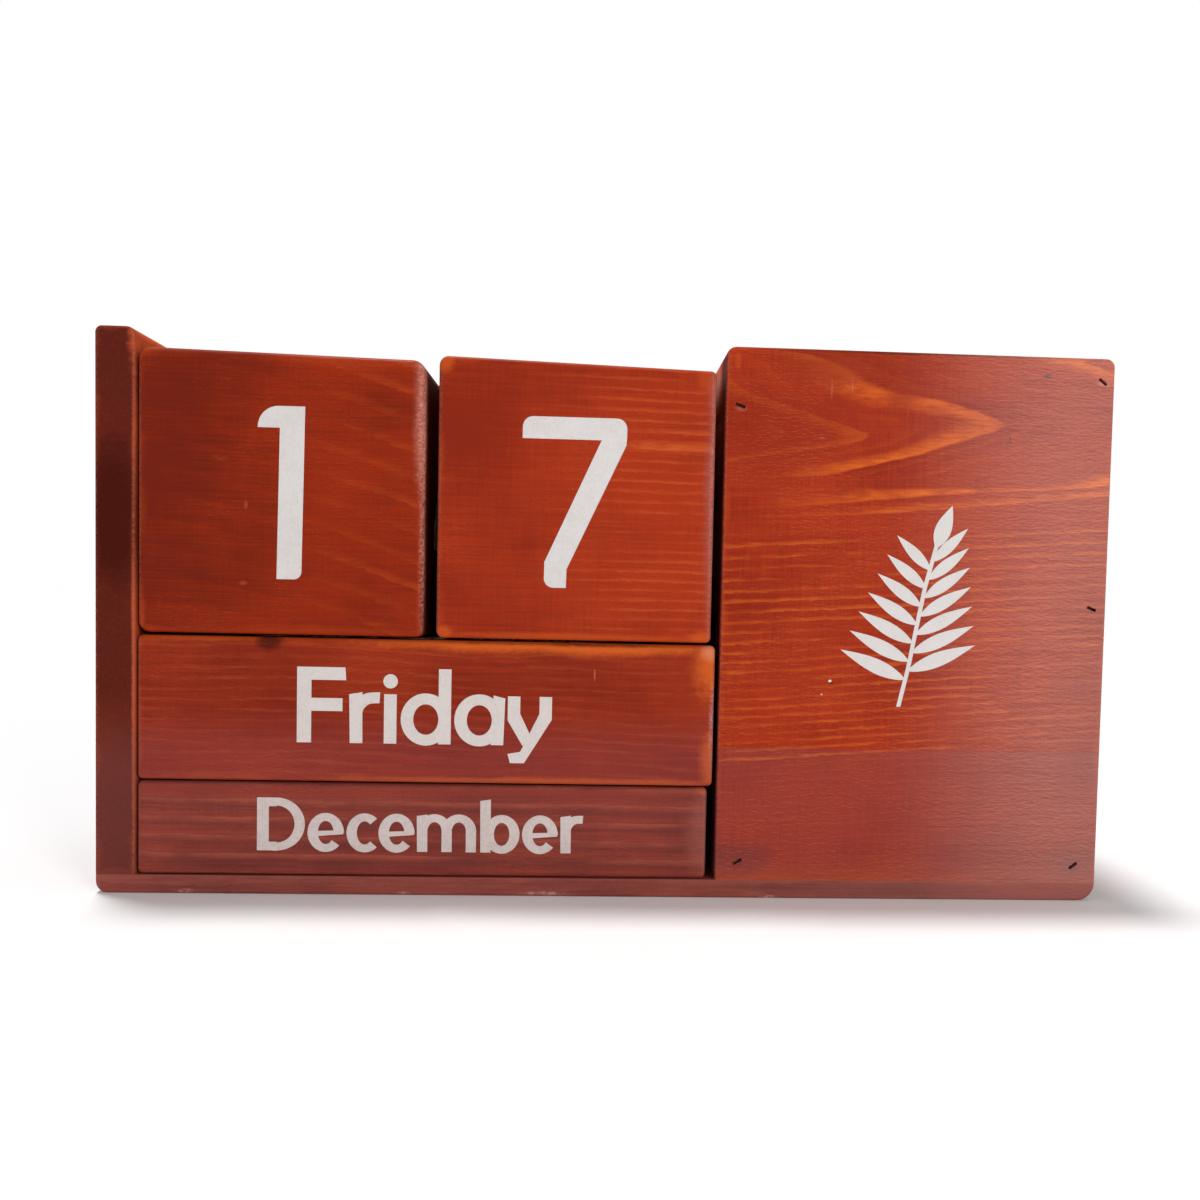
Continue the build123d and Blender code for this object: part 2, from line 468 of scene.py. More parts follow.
@dataclass(frozen=True)
class PineFinish:
    """A stained and varnished pine piece.

    edge_reach and edge_show say how wide and how strong the sanded band along the edges is, grain how strong
    the painted highlights and painted shade on the raised fibres are and chatter the planer's marks. gloss is
    the roughness, shine and coat are the wood's and the varnish's reflection, and relief is the fibres'
    height in mm.
    """

    name: str
    along: Along
    rings: Rings
    stain: Stain
    seed: float
    edge_reach: float = 1.6
    edge_show: float = 0.5
    rubs: tuple[Rub, ...] = ()
    marks: tuple[Mark, ...] = ()
    painted_reflections: tuple[PaintedReflection, ...] = ()
    grain: float = 0.08
    chatter: float = 0.3
    gloss: float = 0.36
    shine: float = 0.025
    coat: float = 0.05
    coat_roughness: float = 0.3
    relief: float = 0.06
    rim_wear_and_highlight: Colour = display(176, 104, 92)
    chipped: Colour = display(206, 140, 118)
    # The colour of the painted highlights on the raised fibres.
    fibre_highlight: Colour = display(222, 132, 96)

    def build(self, node: str) -> bpy.types.Material:
        """Builds the material for one piece.

        Pale growth lines lie over a blotched stain with long fibres. Towards the edges the stain thins to
        bare wood, and end grain is darker and rough. Marks, some of them painted highlights and painted
        shade, and painted reflections with painted glints on the raised fibres lie on top.

        Args:
            node: The CAD node that wears it.

        Returns:
            The material.
        """
        material, graph = new_graph(self.name)
        timber = Timber(graph, node, self.along, self.seed)
        lines, shade = self._growth(timber)
        bare = self._bare_share(timber)
        rim = timber.end.rise(0.10, 0.45) * (1.0 - timber.end.rise(0.95, 0.995)) * timber.edge.rise(1.2, 0.2)
        body = self._stained(timber, lines, shade)
        body = graph.mix(bare, body, self.stain.bare)
        body = self._marked(timber, body, rim)
        body = self._painted_sheen(timber, body)
        rough = timber.end_face * 0.25 + bare * 0.08 + timber.fibre * 0.14 + timber.dash * 0.10 + self.gloss
        height = timber.fibre * 0.8 + timber.dash * 1.0 + timber.plane * (self.chatter * 0.5) + lines * 0.2
        height = height + timber.pore * timber.end_face * 1.2 + timber.grit * rim * 0.7
        graph.surface(
            {
                "Base Color": body,
                "Roughness": rough,
                "Normal": graph.bump(height, self.relief),
                "Specular IOR Level": self.shine,
                "Coat Weight": timber.side * self.coat,
                "Coat Roughness": self.coat_roughness,
            }
        )
        return material

    def _growth(self, timber: Timber) -> tuple[Field, Field]:
        """The growth lines.

        The rings' depth is warped by slow and quick noise and by fine noise drawn out along the grain,
        which frays the lines into streaks, and cut into lines that rise slowly and end sharply.

        Returns:
            How much of a line there is, and how far the wood between is darkened, both 0 to 1.
        """
        graph, rings = timber.graph, self.rings
        length, across, up = timber.length, timber.across, timber.up
        slow = graph.noise(length * 0.02 + self.seed, across * 0.04, up * 0.04, 1.5, 0.5) * (rings.wander * 2)
        quick = graph.noise(length * 0.12 + self.seed, across * 0.4, up * 0.4, 2.0, 0.6) * (rings.ripple * 2)
        fine = graph.noise(length * 0.30 + self.seed, across * 1.8, up * 1.8, 2.0, 0.6)
        depth = rings.depth(length, across, up) + slow + quick + fine * (rings.ragged * 2)
        within = ((depth + depth * depth * rings.tighten) * (1 / rings.spacing) + rings.phase).fraction()
        line = within.rise(0.52, 0.93) * within.rise(1.0, 0.95)
        patch = graph.noise(length * 0.045, across * 0.1, up * 0.16 + self.seed, 2.0, 0.5)
        pieces = graph.noise(length * 0.16 + self.seed, across * 0.5, up * 0.7, 2.0, 0.6)
        broken = (patch * 2.6 + pieces * 2.4 + 0.75).most(0.12).least(1.2)
        strength = broken * rings.show * length.rise(*rings.over)
        inside = depth.rise(rings.band[0] - 0.7, rings.band[0] + 0.7)
        inside = inside * depth.rise(rings.band[1] + 0.4, rings.band[1] - 0.4)
        line = line * strength * (inside * (1.0 - rings.quiet) + rings.quiet)
        shade = within * inside * rings.shade
        for accent in rings.accents:
            offset = depth - accent.depth
            stripe = offset.rise(-accent.width * 1.7, -accent.width * 0.1)
            stripe = stripe * offset.rise(accent.width * 0.3, 0.0)
            swell = (patch * 1.6 + pieces * 1.2 + fine * 1.6 + 0.9).most(0.2).least(1.2) * accent.strength
            fade = length.rise(accent.start, accent.stop)
            line = line.most(stripe * swell * fade)
            if accent.shadow:
                beyond = offset.rise(0.0, accent.width * 0.3) * offset.rise(accent.beyond, accent.width * 0.3)
                shade = shade + beyond * fade * accent.shadow
        return line, shade

    def _bare_share(self, timber: Timber) -> Field:
        """How much the stain is sanded through: a thin uneven band along every edge, and the named rubs."""
        band = (timber.edge + timber.patch * 4.0 + timber.fray * 1.0).rise(self.edge_reach, 0.0)
        share = band * self.edge_show
        for rub in self.rubs:
            share = share.most(timber.reach(rub))
        return share

    def _stained(self, timber: Timber, lines: Field, shade: Field) -> Field:
        """The stain: a blotched tone with painted light sloping across it and the growth lines in it, and end
        grain in its own tone.
        """
        graph, stain, place = timber.graph, self.stain, timber.place
        # Painted light: a steady slope of tone across the piece, lighter where more light falls.
        painted_light_drift = sum(place[i] * (stain.painted_light_drift[i] / float(timber.half[i])) for i in range(3) if stain.painted_light_drift[i])
        tone = timber.cloud * (stain.blotch * 1.8) + timber.fibre * 1.0 + timber.plane * self.chatter
        tone = tone + 0.62 + painted_light_drift - shade
        body = graph.mix(tone.rise(0.0, 1.0), stain.dark, stain.usual)
        body = graph.mix(lines * timber.side, body, stain.line)
        end_share = timber.pore.rise(-0.05, 0.25) * 0.16 + shade * 0.10
        end_share = end_share + timber.cloud.rise(-0.05, 0.25) * 0.18
        return graph.mix(timber.end_face, body, graph.mix(end_share, stain.end, stain.usual))

    def _marked(self, timber: Timber, body: Field, rim: Field) -> Field:
        """Lays the marks, the rim of the end grain, worn and with a painted highlight, and chips along the
        edges over the stain.
        """
        graph = timber.graph
        for mark in self.marks:
            share = timber.reach(mark)
            body = graph.mix(share * timber.grit if mark.gritty else share, body, mark.colour)
        # The end grain's round-overs: worn fibres with a painted highlight, broken up by grit.
        body = graph.mix(rim * timber.grit * 0.45, body, self.rim_wear_and_highlight)
        x, y, z = timber.place
        chip = graph.noise(x * 0.6, y * 0.6, z * 0.6 - self.seed, 3.0, 0.8)
        chip = chip.rise(0.22, 0.27) * timber.edge.rise(0.5, 0.1)
        return graph.mix(chip * 0.5, body, self.chipped)

    def _painted_sheen(self, timber: Timber, body: Field) -> Field:
        """Lays the painted reflections on top, and the short raised fibres as painted highlights on one side
        and painted shade on the other.
        """
        graph, side = timber.graph, timber.side
        raised = timber.glint * (timber.cloud * 3.0 + timber.patch * 2.0 + 0.8).most(0.15)
        for painted_reflection in self.painted_reflections:
            where = timber.place[painted_reflection.axis] + float(timber.middle[painted_reflection.axis]) + timber.cloud * 1.2
            share = where.rise(painted_reflection.start, painted_reflection.stop) * painted_reflection.share
            if painted_reflection.streaky:
                streaks = (timber.glint * painted_reflection.streaky + timber.fibre * painted_reflection.streaky * 0.5 + 1.0).most(0.0)
                share = share * side * streaks
                # The painted glints grow where the painted sheen is strong.
                raised = raised * (share * 8.0 + 1.0)
            body = graph.mix(share, body, painted_reflection.colour)
        # Painted highlight and painted shade: each raised fibre gets a light side and a dark side, as if lit
        # from one way.
        body = graph.mix(raised.rise(0.03, 0.22) * side * self.grain, body, self.fibre_highlight)
        return graph.mix(raised.rise(-0.04, -0.24) * side * self.grain, body, self.stain.dark)


@dataclass(frozen=True)
class PaintFinish:
    """Matt off-white paint with fine grain and tiny pits."""

    name: str = "white_paint"
    colour: Colour = display(214, 209, 207)
    worn: Colour = display(204, 197, 193)
    pit: Colour = display(160, 120, 110)

    def build(self) -> bpy.types.Material:
        """Builds the paint: a cloud of near whites with rare pits that let the stain show."""
        material, graph = new_graph(self.name)
        x, y, z = graph.place()
        cloud = graph.noise(x * 0.3, y * 0.3, z * 0.3, 3.0, 0.6)
        grain = graph.noise(x * 3.0, y * 3.0, z * 3.0, 2.0, 0.6)
        pits = graph.noise(x * 1.1, y * 1.1, z * 1.1, 2.0, 0.8).rise(0.25, 0.30)
        shade = graph.mix((cloud * 0.7 + grain).rise(-0.4, 0.2), self.worn, self.colour)
        shade = graph.mix(pits * 0.5, shade, self.pit)
        graph.surface(
            {
                "Base Color": shade,
                "Roughness": grain * 0.3 + 0.55,
                "Normal": graph.bump(grain - pits, 0.02, 0.6),
                "Specular IOR Level": 0.2,
            }
        )
        return material


@dataclass(frozen=True)
class SteelFinish:
    """Dull brad steel under a film of stain."""

    name: str = "brad_steel"
    dull: Colour = display(86, 46, 36)
    rusty: Colour = display(54, 24, 18)
    low_down: Colour = display(118, 58, 46)

    def build(self) -> bpy.types.Material:
        """Builds the steel: dark metal with browner blotches, and browner still near the base."""
        material, graph = new_graph(self.name)
        x, y, z = graph.place()
        rust = graph.noise(x * 1.4, y * 1.4, z * 1.4, 4.0, 0.7).rise(-0.15, 0.2)
        shade = graph.mix(rust, self.dull, self.rusty)
        shade = graph.mix(z.rise(20.0, 8.0) * 0.5, shade, self.low_down)
        graph.surface({"Base Color": shade, "Metallic": 0.5 - rust * 0.4, "Roughness": rust * 0.3 + 0.45})
        return material


# Lettering


class Pen:
    """Collects the convex cells that a figure is made of, in units of its height. Strokes may overlap."""

    def __init__(self, thick: float, thin: float) -> None:
        """Takes the width of upright strokes and the height of level ones."""
        self.thick = thick
        self.thin = thin
        self.cells: list[np.ndarray] = []

    def cell(self, *corners: tuple[float, float]) -> None:
        """One convex polygon."""
        self.cells.append(np.array(corners, float))

    def post(self, x0: float, y0: float, x1: float, y1: float, width: float | None = None) -> None:
        """A straight stroke with level ends, from the middle of one end to the middle of the other."""
        half = (width or self.thick) / 2
        self.cell((x0 - half, y0), (x0 + half, y0), (x1 + half, y1), (x1 - half, y1))

    def arm(self, x0: float, x1: float, y: float, height: float | None = None) -> None:
        """A level stroke about a height."""
        half = (height or self.thin) / 2
        self.cell((x0, y - half), (x1, y - half), (x1, y + half), (x0, y + half))

    def arc(
        self,
        centre: tuple[float, float],
        radii: tuple[float, float],
        start: float,
        stop: float,
        even: bool = False,
    ) -> None:
        """A stroke along an ellipse: points at equal angles, set off each way along the normal by half the
        stroke, which is thick where it runs upright and thin where it runs level.

        Args:
            centre: The ellipse's centre.
            radii: The middle line's radii.
            start: First angle in degrees, anticlockwise from the right.
            stop: Last angle.
            even: Keeps the stroke thick all round.
        """
        steps = max(4, round(abs(stop - start) / 8))
        angle = np.radians(np.linspace(start, stop, steps + 1))
        line = np.stack([np.cos(angle) * radii[0], np.sin(angle) * radii[1]], 1) + centre
        normal = np.stack([np.cos(angle) * radii[1], np.sin(angle) * radii[0]], 1)
        normal /= np.linalg.norm(normal, axis=1)[:, None]
        width = self.thick if even else self.thin + (self.thick - self.thin) * np.cos(angle) ** 2
        offset = normal * (np.broadcast_to(width, angle.shape) / 2)[:, None]
        inner, outer = line - offset, line + offset
        self.cells.extend(np.stack([inner[:-1], outer[:-1], outer[1:], inner[1:]], 1))

    def slab(
        self,
        low: tuple[float, float],
        high: tuple[float, float],
        radii: tuple[float, float, float, float] = (0, 0, 0, 0),
    ) -> None:
        """A rectangle with its own radius at each corner, from the lower left anticlockwise."""
        corners = ((low[0], low[1]), (high[0], low[1]), (high[0], high[1]), (low[0], high[1]))
        inward = ((1, 1), (-1, 1), (-1, -1), (1, -1))
        outline = []
        for turn, (corner, way, radius) in enumerate(zip(corners, inward, radii)):
            angle = np.radians(180 + 90 * turn + np.linspace(0, 90, 9 if radius else 1))
            middle = np.array(corner) + np.array(way) * radius
            outline.append(middle + radius * np.stack([np.cos(angle), np.sin(angle)], 1))
        self.cells.append(np.concatenate(outline))

    def disc(self, centre: tuple[float, float], radius: float) -> None:
        """A filled circle."""
        angle = np.linspace(0, 2 * math.pi, 33)[:-1]
        self.cells.append(np.array(centre) + radius * np.stack([np.cos(angle), np.sin(angle)], 1))

    def leaf(self, root: tuple[float, float], tip: tuple[float, float], width: float) -> None:
        """A leaf: half-widths along the line from root to tip follow a sine that leans to the root."""
        share = np.linspace(0, 1, 15)
        half = width / 2 * np.sin(math.pi * share**0.8)
        spine = np.array(root) + share[:, None] * (np.array(tip) - np.array(root))
        along = np.array(tip) - np.array(root)
        side = np.array([-along[1], along[0]]) / np.linalg.norm(along)
        left = spine + half[:, None] * side
        right = spine - half[:, None] * side
        self.cells.extend(np.stack([right[:-1], right[1:], left[1:], left[:-1]], 1))

    def merged(self) -> tuple[np.ndarray, np.ndarray]:
        """Joins the overlapping cells into one flat figure.

        Returns:
            Its points, and triangles that don't overlap.
        """
        turned = []
        for cell in self.cells:
            after = np.roll(cell, -1, 0)
            area = np.sum(cell[:, 0] * after[:, 1] - after[:, 0] * cell[:, 1])
            turned.append(cell if area > 0 else cell[::-1])
        points = [Vector(point) for cell in turned for point in cell]
        ends = np.cumsum([len(cell) for cell in turned])
        faces = [list(range(end - len(cell), end)) for cell, end in zip(turned, ends)]
        triangles_inside, closest = 1, 1e-5
        joined, _, triangles, _, _, origins = delaunay_2d_cdt(points, [], faces, triangles_inside, closest)
        kept = [triangle for triangle, origin in zip(triangles, origins) if origin]
        return np.array([point[:] for point in joined]), np.array(kept)


# How far a round stands past the line that straight strokes end at.
ROUND = 0.02

# The name of one of the pen's strokes and what it takes, and a letter's width with its strokes.
Stroke = tuple
Letter = tuple[float, list[Stroke]]


@dataclass(frozen=True)
class Alphabet:
    """Plain heavy letters in units of the capitals' height.

    thick is the width of upright strokes, thin the height of level ones, heavy a capital's stem, top the
    small letters' height, wide a round letter's width, lap how far a stem stands out of its round, and
    gap the space between letters.
    """

    thick: float = 0.165
    thin: float = 0.145
    heavy: float = 0.186
    top: float = 0.655
    wide: float = 0.66
    lap: float = 0.0
    gap: float = 0.044

    def draw(self, letter: str) -> tuple[Pen, float]:
        """Draws one letter.

        Args:
            letter: The letter.

        Returns:
            The pen that holds it, and its width.
        """
        pen = Pen(self.thick, self.thin)
        width, strokes = (self._capitals() if letter.isupper() else self._small())[letter]
        for kind, *values in strokes:
            getattr(pen, kind)(*values)
        return pen, width

    def _round(self, left: float = 0.0, start: float = 0.0, stop: float = 360.0) -> Stroke:
        """The round of a small letter, or a part of it."""
        radii = (self.wide / 2 - self.thick / 2, self.top / 2 + ROUND - self.thin / 2)
        return ("arc", (left + self.wide / 2, self.top / 2), radii, start, stop)

    def _arch(self, left: float, width: float) -> list[Stroke]:
        """An arch from a stem at left, with its own right stem."""
        reach = width - self.thick
        radii = (reach / 2, 0.36 * self.top)
        centre = (left + self.thick / 2 + reach / 2, self.top + ROUND - self.thin / 2 - radii[1])
        right = left + width - self.thick / 2
        return [("arc", centre, radii, 0, 165), ("post", right, 0, right, centre[1])]

    def _stem(self, left: float, height: float, foot: float = 0.0) -> Stroke:
        """An upright stroke whose top is cut at a slight slant."""
        right = left + self.thick
        cut = ((right - 0.005, height + 0.012), (left - 0.012, height - 0.018))
        return ("cell", (left, foot), (right, foot), *cut)

    def _wave(self, top: float, width: float) -> Letter:
        """An s of a given height and width."""
        low = -ROUND + self.thin / 2
        high = top + ROUND - self.thin / 2
        radii = (width / 2 - self.thick / 2, (high - low) / 4)
        middle = (low + high) / 2
        upper = ("arc", (width / 2, middle + radii[1]), radii, 28, 270)
        return width, [upper, ("arc", (width / 2, middle - radii[1]), radii, -152, 90)]

    def _small(self) -> dict[str, Letter]:
        """The small letters by name: each one's width and its strokes."""
        thick, thin, top, wide = self.thick, self.thin, self.top, self.wide
        stem, narrow, full = thick / 2, wide * 0.9, wide + self.lap
        middle = full - stem
        crest = top + ROUND - thin / 2
        e_low, e_high = top / 2 - 0.075, top / 2 + 0.045
        pitch = wide * 0.675
        r_end = 0.235 + thick
        bowl = ROUND - thin / 2
        y_end, bend = 0.42 + thick, top - 0.23
        return {
            "a": (full, [
                self._round(),
                ("cell", (middle - stem - 0.01, 0), (full - 0.01, 0), (full + 0.01, top - 0.03),
                 (middle - stem + 0.02, top + 0.008)),
            ]),
            "b": (full, [self._round(self.lap), self._stem(0, 1)]),
            "c": (wide * 0.81, [self._round(0, 47, 313)]),
            "d": (full, [self._round(), ("post", middle, 0, middle, 1)]),
            "e": (wide, [
                self._round(0, -1, 319),
                ("cell", (stem, e_low), (wide - 0.01, e_low + 0.045), (wide - 0.03, e_high),
                 (stem, e_high - 0.02)),
            ]),
            "g": (full, [
                self._round(),
                ("post", middle, -0.05, middle, top),
                ("arc", (full * 0.52, -0.05), (middle - full * 0.52, 0.15), -150, 0),
            ]),
            "h": (narrow, [self._stem(0, 1), *self._arch(0, narrow)]),
            "i": (thick + 0.018, [
                ("post", stem + 0.008, 0, stem + 0.008, top),
                ("disc", (stem + 0.008, top + 0.172), 0.095),
            ]),
            "l": (thick, [self._stem(0, 1)]),
            "m": (2 * pitch + thick + 0.035, [
                self._stem(0, top), *self._arch(0, pitch + thick), *self._arch(pitch, pitch + thick),
            ]),
            "n": (narrow, [self._stem(0, top), *self._arch(0, narrow)]),
            "o": (wide, [self._round()]),
            "p": (full, [self._round(self.lap), self._stem(0, top, -0.24)]),
            "r": (r_end, [
                self._stem(0.008, top + 0.01),
                ("arc", (r_end - 0.09, top * 0.56), (r_end - 0.09 - stem, top * 0.44 + bowl), 88, 175),
                ("cell", (r_end - 0.10, crest - thin / 2), (r_end - 0.008, crest - thin / 2 + 0.004),
                 (r_end, crest + thin / 2 + 0.004), (r_end - 0.10, crest + thin / 2)),
            ]),
            "s": self._wave(top, wide * 0.78),
            "t": (0.42, [
                ("post", 0.12 + stem, 0.14, 0.12 + stem, 0.88),
                ("arm", 0.0, 0.42, top - thin / 2),
                ("arc", (0.25 + stem, 0.14), (0.13, 0.14 + bowl), 180, 285),
            ]),
            "u": (narrow, [
                ("post", stem, 0.24, stem, top),
                ("arc", (narrow / 2, 0.24), (narrow / 2 - stem, 0.24 + bowl), 180, 350),
                ("post", narrow - stem, 0, narrow - stem, top),
            ]),
            "v": (0.58, [("post", 0.29, 0, stem, top), ("post", 0.29, 0, 0.58 - stem, top)]),
            "y": (y_end, [
                ("cell", (0, bend - 0.09), (thick, bend), (thick, top), (0, top)),
                ("cell", (0, bend - 0.09), (0.204, -0.008), (0.30, 0.145), (thick, bend)),
                ("cell", (0.42, bend), (y_end, bend - 0.075), (y_end, top), (0.42, top)),
                ("cell", (0.42, bend), (0.17, -0.09), (0.09, -0.237), (0.225, -0.237), (y_end, bend - 0.075)),
                ("cell", (0.005, -0.115), (0.038, -0.237), (0.20, -0.237), (0.19, -0.08)),
            ]),
        }

    def _capitals(self) -> dict[str, Letter]:
        """The capitals by name: each one's width and its strokes."""
        heavy, thin = self.heavy, self.thin + 0.015
        stem, bowl = heavy / 2, ROUND - self.thin / 2
        d_end = self.wide * 1.31

        def post(x0: float, y0: float, x1: float, y1: float) -> Stroke:
            return ("post", x0, y0, x1, y1, heavy)

        return {
            "A": (0.76, [post(stem, 0, 0.38, 1), post(0.76 - stem, 0, 0.38, 1), ("arm", 0.16, 0.60, 0.29)]),
            "D": (d_end, [
                post(stem, 0, stem, 1),
                ("arm", stem, 0.36, thin / 2, thin),
                ("arm", stem, 0.36, 1 - thin / 2, thin),
                ("arc", (0.36, 0.5), (d_end - 0.36 - self.thick / 2, 0.5 - self.thin / 2), -90, 90),
            ]),
            "F": (0.638, [
                post(stem, 0, stem, 1),
                ("cell", (stem, 1 - 0.17), (0.638, 1 - 0.17), (0.625, 1), (stem, 1)),
                ("arm", stem, 0.592, 0.506, 0.172),
            ]),
            "J": (0.46, [
                post(0.46 - stem, 0.24, 0.46 - stem, 1),
                ("arc", (0.16, 0.24), (0.30 - stem, 0.24 + bowl), -120, 0),
            ]),
            "M": (0.94, [
                post(stem, 0, stem, 1), post(0.94 - stem, 0, 0.94 - stem, 1),
                post(0.47, 0.20, stem, 1), post(0.47, 0.20, 0.94 - stem, 1),
            ]),
            "N": (0.76, [
                post(stem, 0, stem, 1), post(0.76 - stem, 0, 0.76 - stem, 1), post(0.76 - stem, 0, stem, 1),
            ]),
            "O": (0.92, [("arc", (0.46, 0.5), (0.46 - self.thick / 2, 0.5 + bowl), 0, 360)]),
            "S": self._wave(1, 0.62),
            "T": (0.70, [("arm", 0.0, 0.70, 1 - thin / 2, thin), post(0.35, 0, 0.35, 1)]),
            "W": (1.04, [
                post(0.28, 0, stem, 1), post(0.28, 0, 0.52, 0.86),
                post(0.76, 0, 0.52, 0.86), post(0.76, 0, 1.04 - stem, 1),
            ]),
        }


@dataclass(frozen=True)
class Numerals:
    """Tall round-cornered numerals that lean a little, in units of their height."""

    stroke: float = 0.133
    width: float = 0.60
    turn: float = 0.154
    slant: float = 0.016
    gap: float = 0.10

    def draw(self, numeral: str) -> tuple[Pen, float]:
        """Draws one numeral.

        Args:
            numeral: The numeral.

        Returns:
            The pen that holds it, and its width.
        """
        pen = Pen(self.stroke, self.stroke)
        if numeral == "1":
            width = self._one(pen)
        elif numeral == "7":
            width = self._seven(pen)
        else:
            width = self._other(pen, numeral)
        for cell in pen.cells:
            cell[:, 0] += self.slant * (cell[:, 1] - 0.5)
        return pen, width

    @staticmethod
    def _one(pen: Pen) -> float:
        """A stem with a rounded flag."""
        pen.slab((0.126, 0), (0.268, 1), (0, 0.045, 0, 0))
        pen.slab((0, 0.875), (0.268, 1), (0, 0, 0, 0.118))
        return 0.268

    @staticmethod
    def _seven(pen: Pen) -> float:
        """An arm, a slant and a short upright foot."""
        pen.slab((0, 0.871), (0.611, 1), (0, 0, 0.062, 0.060))
        pen.cell((0.465, 0.875), (0.611, 0.930), (0.609, 0.844), (0.283, 0.112), (0.151, 0.150))
        pen.slab((0.151, 0), (0.282, 0.155), (0.055, 0, 0, 0))
        return 0.611

    def _other(self, pen: Pen, numeral: str) -> float:
        """The numerals that are made of turns and straight strokes."""
        half, turn = self.stroke / 2, self.turn
        left, right = half, self.width - half
        near, far = left + turn, right - turn
        floor, ceiling, waist = half, 1 - half, 0.53
        low, high = floor + turn, ceiling - turn

        def corner(x: float, y: float, quadrant: int) -> None:
            pen.arc((x, y), (turn, turn), 90 * quadrant, 90 * quadrant + 90, even=True)

        def lower_right() -> None:
            corner(far, waist - turn, 0)
            pen.post(right, low, right, waist - turn)

        if numeral == "4":
            pen.cell((0, 0.33), (0.16, 0.33), (0.50, 1), (0.36, 1))
            pen.slab((0, 0.205), (0.62, 0.335))
            pen.slab((0.367, 0), (0.50, 1), (0, 0.05, 0, 0))
            return 0.62
        if numeral == "2":
            pen.cell((0, self.stroke), (0.175, 0.10), (self.width, 0.63), (self.width - self.stroke, 0.66))
            pen.slab((0, 0), (self.width, self.stroke), (0, 0.05, 0, 0))
        elif numeral == "5":
            pen.slab((0.02, 1 - self.stroke), (0.57, 1), (0, 0, 0.05, 0))
            pen.slab((0.02, waist - half), (0.02 + self.stroke, 1))
            pen.arm(0.1, far, waist)
            lower_right()
        elif numeral != "3":
            corner(near, high, 1)
        if numeral in "03568":
            corner(near, low, 2)
            corner(far, low, 3)
            pen.arm(near, far, floor)
            pen.post(left, low, left, {"3": low + 0.07, "5": low + 0.06}.get(numeral, high))
        if numeral in "02368":
            pen.arm(near, far, ceiling)
            corner(far, high, 0)
            pen.post(right, {"0": low, "2": 0.62, "6": 0.70}.get(numeral, waist + turn), right, high)
        if numeral in "23":
            corner(near, high, 1)
            pen.post(left, 0.70, left, high)
        if numeral in "368":
            pen.arm(0.24 if numeral == "3" else left, far, waist)
            lower_right()
        if numeral in "38":
            corner(far, waist + turn, 3)
        return self.width


@dataclass(frozen=True)
class Face:
    """One face of a block: its outward way and the way that is up for what is painted on it."""

    name: str
    out: Point
    up: Point

    def middle(self, node: str) -> Vector:
        """The middle of this face on a node's box."""
        low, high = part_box(node)
        centre = (low + high) / 2
        half = (high - low) / 2
        return centre + Vector([half[i] * self.out[i] for i in range(3)])

    def frame(self, node: str) -> Matrix:
        """Carries figures drawn flat, right along x and up along y, onto the face.

        The face may slope a little off its box's side: the plane of its largest triangle is taken, and the
        box's middle is moved onto it straight inwards.
        """
        out = Vector(self.out)
        polygons = bpy.data.objects[node].data.polygons
        facing = [polygon for polygon in polygons if polygon.normal.dot(out) > 0.9]
        flat = max(facing, key=lambda polygon: polygon.area)
        normal = flat.normal.copy()
        middle = self.middle(node)
        middle = middle - out * ((middle - flat.center).dot(normal) / out.dot(normal))
        up = (Vector(self.up) - normal * normal.dot(Vector(self.up))).normalized()
        columns = Matrix((up.cross(normal), up, normal)).transposed().to_4x4()
        return Matrix.Translation(middle) @ columns


FRONT = Face("front", (0, -1, 0), (0, 0, 1))
TOP = Face("top", (0, 0, 1), (0, 1, 0))
BOTTOM = Face("bottom", (0, 0, -1), (0, -1, 0))
BACK_UPRIGHT = Face("back", (0, 1, 0), (0, 0, 1))
BACK_ROLLED = Face("back", (0, 1, 0), (0, 0, -1))
LEFT = Face("left", (-1, 0, 0), (0, 0, 1))
RIGHT = Face("right", (1, 0, 0), (0, 0, 1))
CUBE_FACES = (FRONT, TOP, RIGHT, BACK_UPRIGHT, LEFT, BOTTOM)
BAR_FACES = (FRONT, TOP, BACK_ROLLED, BOTTOM)


Letters = Union[Alphabet, Numerals]


